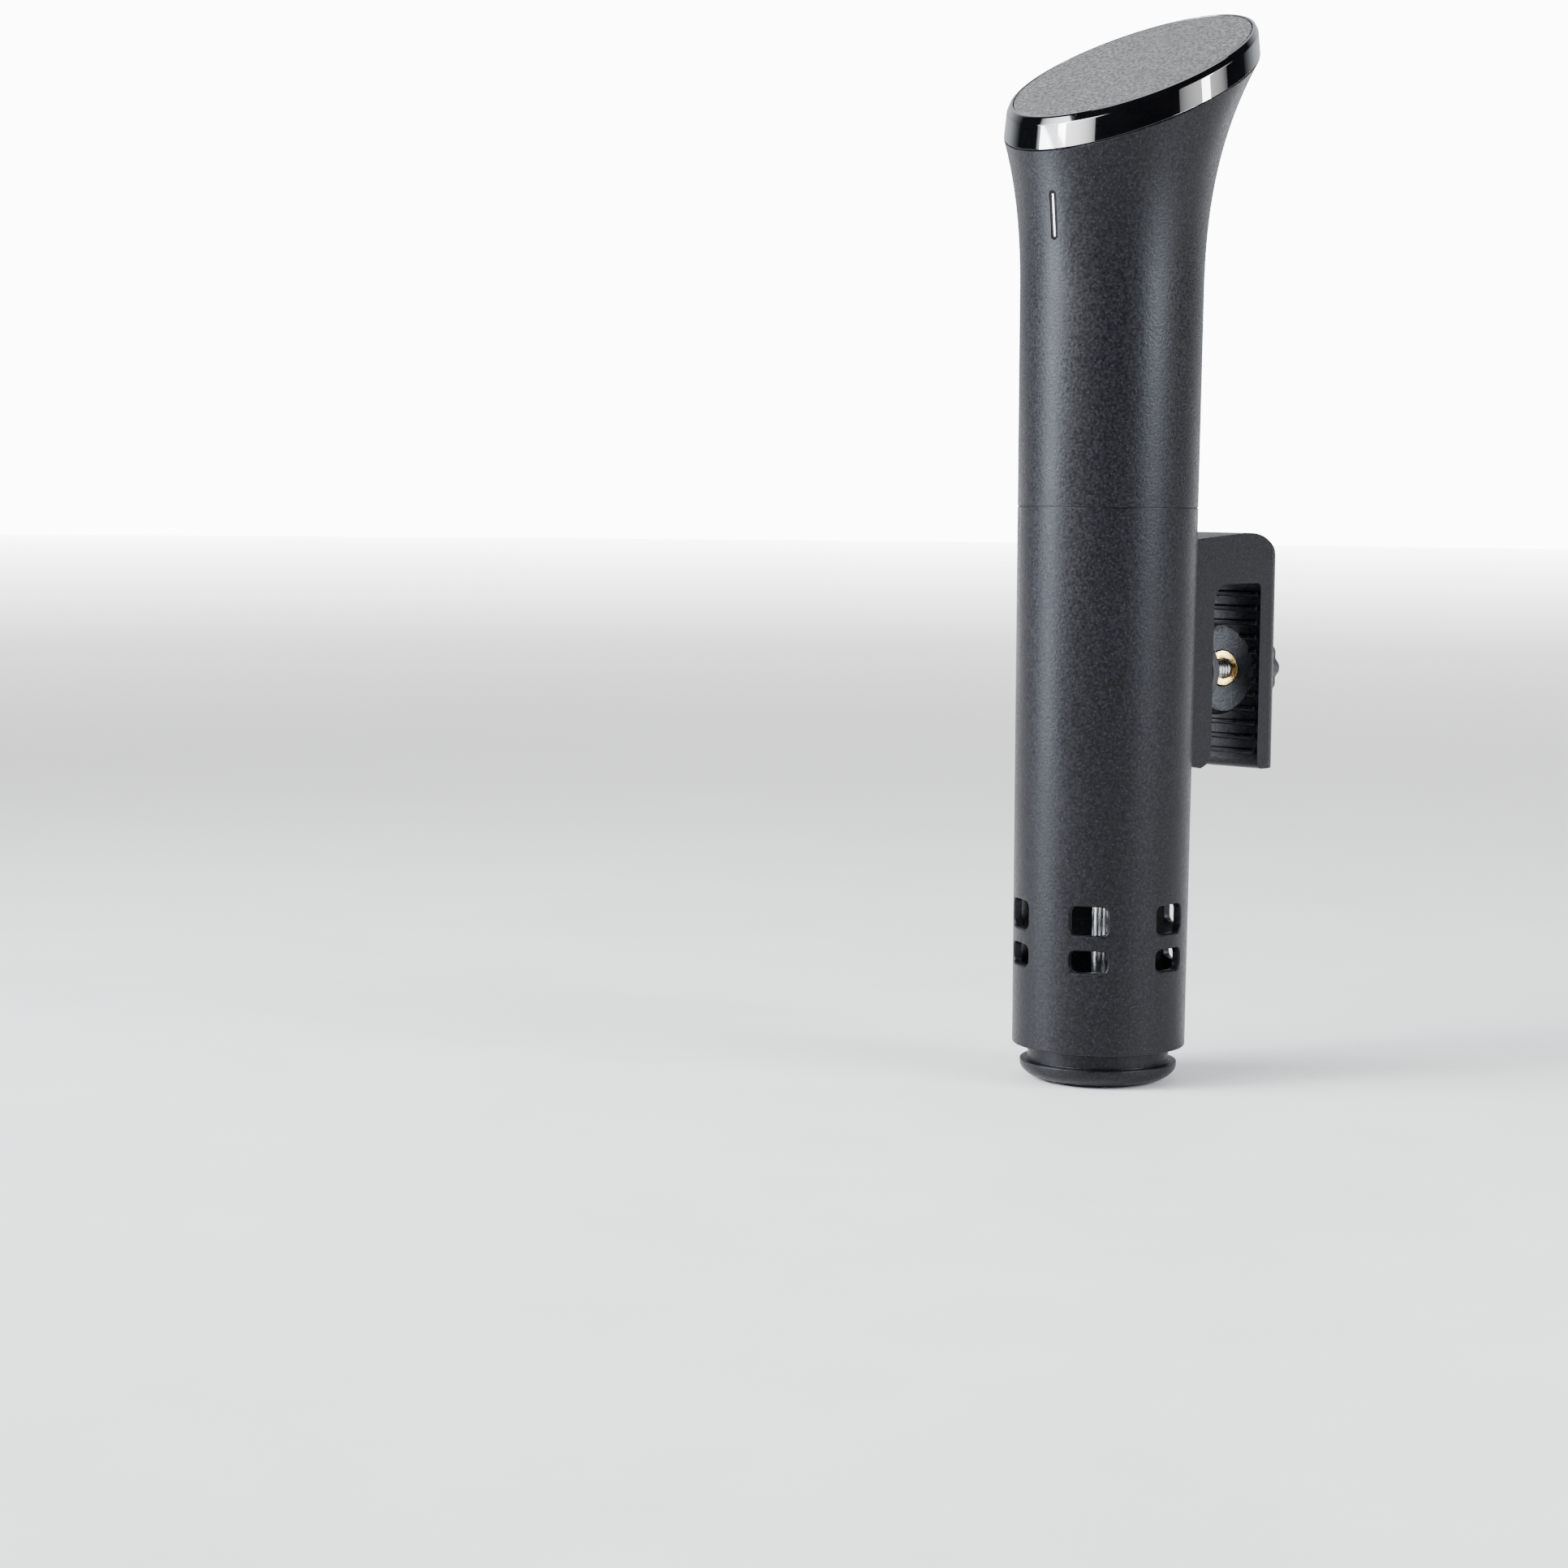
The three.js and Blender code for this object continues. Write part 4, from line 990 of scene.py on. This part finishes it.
def heater_path():
    """Centre line of the heater: upright runs joined by half-round bends that follow the circle."""
    bend = 5
    low, high = 66, 90
    top = PLATE_Z + PLATE_HEIGHT + 8
    path = [(heater_angle(0), top), (heater_angle(0), (top + low) / 2)]
    for run in range(HEATER_RUNS - 1):
        level = low if run % 2 == 0 else high
        outward = -1 if run % 2 == 0 else 1
        for i in range(19):
            t = math.pi * i / 18
            share = (1 - math.cos(t)) / 2
            angle = heater_angle(run) + (heater_angle(run + 1) - heater_angle(run)) * share
            path.append((angle, level + outward * bend * math.sin(t)))
    path += [(heater_angle(HEATER_RUNS - 1), (top + low) / 2), (heater_angle(HEATER_RUNS - 1), top)]
    return [Vector((HEATER_RADIUS * math.cos(a), HEATER_RADIUS * math.sin(a), z)) for a, z in path]


def heater_coil():
    """A steel tube bent along its path, with each section turned from the one before."""
    path = heater_path()
    ahead = (path[1] - path[0]).normalized()
    side = ahead.orthogonal().normalized()
    rings = []
    for i, point in enumerate(path):
        way = (path[min(i + 1, len(path) - 1)] - path[max(i - 1, 0)]).normalized()
        side = (ahead.rotation_difference(way) @ side).normalized()
        ahead = way
        other = way.cross(side)
        turns = [2 * math.pi * k / SMALL for k in range(SMALL)]
        rings.append([point + (side * math.cos(a) + other * math.sin(a)) * HEATER_TUBE for a in turns])
    piece(loft("heater_tube", rings), STEEL, replaces=["heater_coil"], sharp=60)


def probes():
    """Temperature probe and two level rods with domed tips."""
    rods = [
        ("temperature_probe", 180, 1.8, 59),
        ("level_rod_low", 60, 1.2, 64),
        ("level_rod_high", 300, 1.2, 90),
    ]
    top = PLATE_Z + PLATE_HEIGHT + 2
    for name, angle, radius, tip in rods:
        dome = [math.radians(90 * i / 8) for i in range(9)]
        outline = [(radius * math.sin(a), tip + radius * (1 - math.cos(a))) for a in dome]
        outline += [(radius, top - 0.3), (radius - 0.3, top), (0, top)]
        rod = lathe(name + "_rod", outline, SMALL, on_circle(7.5, angle))
        piece(rod, STEEL, replaces=[name])


def impeller():
    """Back plate and hub with six swept blades under it."""
    top = 20
    outline = rounded(
        [
            (SHAFT_RADIUS + CLEAR, SHAFT_FOOT_Z - 0.5),
            (5, SHAFT_FOOT_Z - 0.5, 0.6),
            (5, 17.4, 1.2),
            (16, 18.6, 0.3),
            (16, top, 0.4),
            (SHAFT_RADIUS + CLEAR, top),
        ],
        0.2,
    )
    wheel = lathe("impeller_wheel", outline, MEDIUM)
    blades = []
    for i in range(6):
        outer = [math.pi * (0.70 - 0.40 * k / 14) for k in range(15)]
        outline = [(7.2 + 12.2 * math.cos(a), -9 + 12.2 * math.sin(a)) for a in outer]
        outline += [(7.2 + 11.2 * math.cos(a), -9 + 11.2 * math.sin(a)) for a in reversed(outer)]
        blades.append(prism("blade", outline, SHAFT_FOOT_Z, 19, spun(2 * math.pi * i / 6, along_z)))
    join(wheel, *blades)
    bound = lathe("bound", [(0, 8), (16, 8), (16, 20), (0, 20)], MEDIUM)
    common(wheel, bound)
    piece(wheel, BLACK_PLASTIC, body="drive", replaces=["impeller"])


def drive_shaft():
    """Ground shaft with a chamfered foot and a retaining groove."""
    top = 117
    outline = [
        (0, SHAFT_FOOT_Z),
        (SHAFT_RADIUS - 0.4, SHAFT_FOOT_Z),
        (SHAFT_RADIUS, SHAFT_FOOT_Z + 0.4),
        (SHAFT_RADIUS, 21),
        (SHAFT_RADIUS - 0.35, 21.1),
        (SHAFT_RADIUS - 0.35, 21.8),
        (SHAFT_RADIUS, 21.9),
        (SHAFT_RADIUS, top - 0.3),
        (SHAFT_RADIUS - 0.3, top),
        (0, top),
    ]
    piece(lathe("drive_shaft_rod", outline, SMALL), STEEL, body="drive", replaces=["drive_shaft"])


def bearing_spider():
    """Ring and hub on three spokes."""
    ring = lathe("spider_frame", rounded([(21.2, 24), (23.7, 24), (23.7, 26.5), (21.2, 26.5)], 0.4))
    hub = lathe("hub", rounded([(5.5, 23), (8.2, 23), (8.2, 28), (5.5, 28)], 0.5), MEDIUM)
    spokes = []
    for angle in TAB_TURNS:
        section = rectangle(3.5, 2.5, 0.6, 4)
        outline = [(y, 25.25 + z) for y, z in section]
        spokes.append(prism("spoke", outline, 7, 22, spun(math.radians(angle), along_x)))
    piece(join(ring, hub, *spokes), GREY_PLASTIC, replaces=["bearing_spider"])


# ---------------------------------------------------------------- clamp


def arm_outline():
    """Side outline of the arm in (y, z), without its ribs."""

    def bend(start, first, second, end, steps=10):
        points = []
        for i in range(1, steps + 1):
            t = i / steps
            weights = ((1 - t) ** 3, 3 * t * (1 - t) ** 2, 3 * t * t * (1 - t), t**3)
            corners = (start, first, second, end)
            points.append(tuple(sum(w * c[k] for w, c in zip(weights, corners)) for k in (0, 1)))
        return points

    def arc(start, corner, end, steps=8):
        first = tuple(s + 2 / 3 * (c - s) for s, c in zip(start, corner))
        second = tuple(e + 2 / 3 * (c - e) for e, c in zip(end, corner))
        return bend(start, first, second, end, steps)

    shoulder = (22, ARM_TOP_Z - 1.4)
    crest = (51, ARM_TOP_Z + 0.45)
    foot = (ARM_END_Y, ARM_TOP_Z - 15)
    points = [(10, 98), (10, shoulder[1]), shoulder]
    points += arc(shoulder, (42, ARM_TOP_Z + 0.1), crest, 10)
    points += bend(crest, (59, crest[1]), (ARM_END_Y, ARM_TOP_Z - 3.5), foot, 18)
    points += [(ARM_END_Y, LEG_FOOT_Z + 4)]
    points += arc(points[-1], (ARM_END_Y, LEG_FOOT_Z), (ARM_END_Y - 4, LEG_FOOT_Z))
    points += [(LEG_FACE_Y + 3, LEG_FOOT_Z)]
    points += arc(points[-1], (LEG_FACE_Y, LEG_FOOT_Z), (LEG_FACE_Y, LEG_FOOT_Z + 3))
    points += [(LEG_FACE_Y, THROAT_Z - 2)]
    points += arc(points[-1], (LEG_FACE_Y, THROAT_Z), (LEG_FACE_Y - 2, THROAT_Z), 6)
    points += [(ROOT_FACE_Y + 7, THROAT_Z)]
    points += arc(points[-1], (ROOT_FACE_Y, THROAT_Z), (ROOT_FACE_Y, THROAT_Z - 9), 10)
    points += [(ROOT_FACE_Y, 100)]
    points += arc(points[-1], (ROOT_FACE_Y - 0.5, 96), (27, 95), 6)
    return points


def arm_plan():
    """Outline of the arm from above, with rounded outer corners."""
    corners = [
        (-ARM_HALF_WIDTH, 5, 0),
        (ARM_HALF_WIDTH, 5, 0),
        (ARM_HALF_WIDTH, ARM_END_Y, 5.8),
        (-ARM_HALF_WIDTH, ARM_END_Y, 5.8),
    ]
    return rounded(corners, steps=14)


def grip_ribs():
    """Low bars across the leg's inner face."""
    pitch, proud = 4.5, 1
    ribs = []
    top = THROAT_Z - 2.5
    while top - 1.9 > LEG_FOOT_Z + 3:
        section = rounded(
            [
                (LEG_FACE_Y + 1, top, 0),
                (LEG_FACE_Y, top, 0),
                (LEG_FACE_Y - proud, top - 0.45),
                (LEG_FACE_Y - proud, top - 1.45),
                (LEG_FACE_Y, top - 1.9, 0),
                (LEG_FACE_Y + 1, top - 1.9, 0),
            ],
            0.3,
        )
        ribs.append(prism("rib", section, -ARM_HALF_WIDTH + 1.2, ARM_HALF_WIDTH - 1.2, along_x))
        top -= pitch
    return ribs


def at_screw(name, outline, count=MEDIUM):
    """A lathed shape about the clamp screw's axis."""
    return lathe_along_y(name, outline, count, (0, 0, SCREW_Z))


def clamp_arm():
    """Bridge and leg in one moulding, cut to the tube, with a ribbed throat and a pocket for the jaw."""
    arm = prism("clamp_arm_moulding", arm_outline(), -ARM_HALF_WIDTH - 1, ARM_HALF_WIDTH + 1, along_x)
    common(arm, prism("plan", arm_plan(), 80, 180, along_z))
    softened(arm, 1.3, 4, 42)
    join(arm, *grip_ribs())
    sleeve = [(0, 80), (body_radius(80) + CLEAR, 80), (body_radius(180) + CLEAR, 180), (0, 180)]
    recess = [(x, SCREW_Z + z) for x, z in rectangle(26.6, 36.6, 4.3)]
    pocket = [(0, LEG_FACE_Y - 3), (14.6, LEG_FACE_Y - 3), (14.6, LEG_FACE_Y), (14, LEG_FACE_Y + 0.6)]
    pocket += [(14, LEG_FACE_Y + 3.6), (13.6, LEG_FACE_Y + 4), (0, LEG_FACE_Y + 4)]
    bore = [(0, LEG_FACE_Y), (5.9, LEG_FACE_Y), (5.9, ARM_END_Y - 1.7), (7.3, ARM_END_Y - 1.7)]
    bore += [(7.3, ARM_END_Y - 0.4), (7.9, ARM_END_Y + 0.2), (7.9, ARM_END_Y + 1), (0, ARM_END_Y + 1)]
    cut(
        arm,
        lathe("sleeve", sleeve, FINE),
        prism("recess", recess, ROOT_FACE_Y - 1.7, ROOT_FACE_Y + 5, along_y),
        at_screw("pocket", pocket),
        at_screw("bore", bore),
        *arm_holes(20, 39),
    )
    piece(arm, SHELL, replaces=["clamp_arm"], sharp=38)


def tube_pad():
    """Silicone block with a crowned face and shallow grip channels."""
    back = ROOT_FACE_Y - 1.7 + CLEAR
    rings = []
    crown = [(0, GRIP_Y - 0.7), (0.15, GRIP_Y - 0.3), (0.6, GRIP_Y - 0.06), (1.6, GRIP_Y)]
    for inset, y in [(0, back), *crown]:
        outline = rectangle(26 - 2 * inset, 36 - 2 * inset, 4 - inset)
        rings.append([(x, y, SCREW_Z + z) for x, z in outline])
    pad = loft("tube_pad_block", rings)
    channels = []
    for i in range(-3, 4):
        z = SCREW_Z + 4.4 * i
        section = [(GRIP_Y + 1, z - 0.9), (GRIP_Y - 0.5, z - 0.35)]
        section += [(GRIP_Y - 0.5, z + 0.35), (GRIP_Y + 1, z + 0.9)]
        channels.append(prism("channel", section, -14, 14, along_x))
    cut(pad, *channels)
    piece(pad, SOFT, replaces=["tube_pad"])


def jaw_pad():
    """Round silicone face with concentric grip rings."""
    back = JAW_FACE_Y + 1.5
    outline = [(0, back), (11.6, back), (12, back - 0.3)]
    outline += [(12, JAW_FACE_Y + 0.5), (11.6, JAW_FACE_Y + 0.1), (11.2, JAW_FACE_Y)]
    for radius in (9.4, 7.4, 5.4, 3.4):
        outline += [(radius + 0.5, JAW_FACE_Y), (radius + 0.2, JAW_FACE_Y + 0.35)]
        outline += [(radius - 0.2, JAW_FACE_Y + 0.35), (radius - 0.5, JAW_FACE_Y)]
    outline += [(0, JAW_FACE_Y)]
    pad = at_screw("jaw_pad_disc", outline)
    piece(pad, SOFT, body="jaw", replaces=["jaw_pad"])


def clamp_jaw():
    """Round swivel plate with a socket for the screw's tip."""
    plate = JAW_FACE_Y + 1.8
    back = plate + 3.6
    boss = back + 1.6
    corners = [
        (JAW_RADIUS, plate, 0.3),
        (JAW_RADIUS, back, 1.2),
        (7.4, back, 0.5),
        (7, back - 0.9, 0.4),
        (5.6, back - 0.6, 0.3),
        (5.6, boss, 0.5),
        (SCREW_RADIUS + CLEAR, boss, 0.4),
        (SCREW_RADIUS + CLEAR, plate + 1.6, 0.1),
    ]
    outline = [Vector((0, plate)), *rounded(corners), Vector((0, plate + 1.6))]
    piece(at_screw("jaw_plate", outline), BLACK_PLASTIC, body="jaw", replaces=["clamp_jaw"])


def clamp_screw():
    """Rolled thread in two starts, right-handed, with plain chamfered ends."""
    low = JAW_FACE_Y + 3.7
    high = KNOB_Y + KNOB_LENGTH - 2
    core = SCREW_RADIUS - 0.55
    starts = 2
    steps = round((high - low) / THREAD_LEAD * 32)
    rings = []
    for i in range(steps + 1):
        y = low + (high - low) * i / steps
        fade = min(1, (y - low) / 1.2, (high - y) / 1.2)
        ring = []
        for k in range(SMALL):
            turn = k / SMALL
            phase = (starts * (y / THREAD_LEAD - turn)) % 1
            crest = min(1, max(0, 1.35 - 3.2 * abs(phase - 0.5)))
            radius = core + (SCREW_RADIUS - core) * crest * max(0, fade)
            angle = 2 * math.pi * turn
            ring.append((radius * math.sin(angle), y, SCREW_Z + radius * math.cos(angle)))
        rings.append(ring)
    piece(loft("clamp_screw_thread", rings), STEEL, body="thumb_screw", replaces=["clamp_screw"], sharp=50)


def clamp_insert():
    """Brass bush with a knurled flange."""
    low = LEG_FACE_Y + 4.4
    high = ARM_END_Y - 0.2
    flange = ARM_END_Y - 1.4
    bore = SCREW_RADIUS + CLEAR
    corners = [(bore, low), (5.6, low, 0.3), (5.6, flange, 0.1)]
    corners += [(7, flange, 0.2), (7, high, 0.2), (bore, high, 0.4)]
    teeth = 36
    rings = []
    for radius, y in rounded(corners, 0.2):
        ring = []
        for k in range(teeth * 4):
            angle = 2 * math.pi * k / (teeth * 4)
            knurled = radius - 0.18 * (k % 4 == 0) if radius > 6 else radius
            ring.append((knurled * math.sin(angle), y, SCREW_Z + knurled * math.cos(angle)))
        rings.append(ring)
    piece(loft("insert_bush", rings, "round"), BRASS, replaces=["clamp_insert"])


def clamp_knob():
    """Lobed knob with a dished end and a socket for the screw."""
    lobes = 10
    socket = SCREW_RADIUS + CLEAR
    end = KNOB_Y + KNOB_LENGTH
    corners = [
        (socket, end - 1.7, 0.1, 0),
        (socket, KNOB_Y, 0.2, 0),
        (6, KNOB_Y, 0.3, 0),
        (KNOB_RADIUS - 0.6, KNOB_Y, 0.4, 0.7),
        (KNOB_RADIUS, KNOB_Y + 1.2, 0.8, 1),
        (KNOB_RADIUS, end - 2.2, 1.2, 1),
        (KNOB_RADIUS - 1.8, end, 1, 0.8),
        (6.6, end, 0.5, 0.1),
        (5.6, end - 0.5, 0.4, 0),
    ]
    outline = [Vector((0, end - 1.7)), *rounded([c[:3] for c in corners], steps=5), Vector((0, end - 0.5))]
    rings = []
    for radius, y in outline:
        weight = min(1, max(0, (radius - 6.6) / (KNOB_RADIUS - 2 - 6.6)))
        if radius < 1e-6:
            rings.append([(0, y, SCREW_Z)])
            continue
        ring = []
        for k in range(ROUND + 48):
            angle = 2 * math.pi * k / (ROUND + 48)
            dip = 0.35 * (1 - math.cos(lobes * angle)) ** 1.5 * weight
            lobed = radius - dip
            ring.append((lobed * math.cos(angle), y, SCREW_Z + lobed * math.sin(angle)))
        rings.append(ring)
    piece(loft("lobed_knob", rings), BLACK_PLASTIC, body="thumb_screw", replaces=["clamp_knob"], sharp=45)


# ---------------------------------------------------------------- the CAD's own inner pieces

CARRIED = [
    (SOFT, "bezel_gasket seam_seal base_seal shaft_seal motor_damper"),
    (BOARD, "display_board status_led_board control_board"),
    (BLACK_PLASTIC, "display_module lower_bush"),
    (GREY_PLASTIC, "chassis motor_mount"),
    (COPPER, "transformer"),
    (COMPONENT, "relay filter_capacitor triac"),
    (CERAMIC, "fuse"),
    (ALUMINIUM, "heat_sink"),
    (
        STEEL,
        "radio_module board_screw_lower board_screw_upper base_plate plate_screw_1 plate_screw_2 "
        "plate_screw_3 motor_can motor_screw_left motor_screw_right motor_rotor motor_shaft "
        "arm_screw_left arm_screw_right",
    ),
    (BRASS, "heater_nut_left heater_nut_right motor_bearing_lower motor_bearing_upper shaft_coupling"),
]


def paint_carried():
    """Gives the CAD nodes that stay their materials."""
    for material, names in CARRIED:
        for name in names.split():
            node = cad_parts[name]
            if not node.material_slots:
                node.data.materials.append(None)
            for part in node.material_slots:
                part.material = material


# ---------------------------------------------------------------- assembly

make_camera()
make_world()
make_floor()
area_light("left_box", -24, 30, 1.2, 1.44, 0.62, 11.5, 68)
area_light("left_core", -25, 24, 1.2, 0.17, 0.32, 13)
area_light("left_low_box", -40, 10, 1.2, 0.42, 0.24, 6.5, 110, COOL)
area_light("left_foot_box", -40, -7, 1.2, 0.44, 0.18, 3, 110, COOL)
area_light("right_box", 109, 27, 1.3, 1.14, 0.62, 1.5, 56)
area_light("right_core", 110, 23, 1.3, 0.18, 0.4, 12)
area_light("right_low_box", 94, 8, 1.2, 0.42, 0.28, 5, 110, COOL)
overhead_light(1.8)

upper_housing()
status_light()
bezel_ring()
touch_panel()
cord_gland()
lower_housing()
bottom_cap()
heater_coil()
probes()
impeller()
drive_shaft()
bearing_spider()
clamp_arm()
tube_pad()
jaw_pad()
clamp_jaw()
clamp_screw()
clamp_insert()
clamp_knob()
paint_carried()
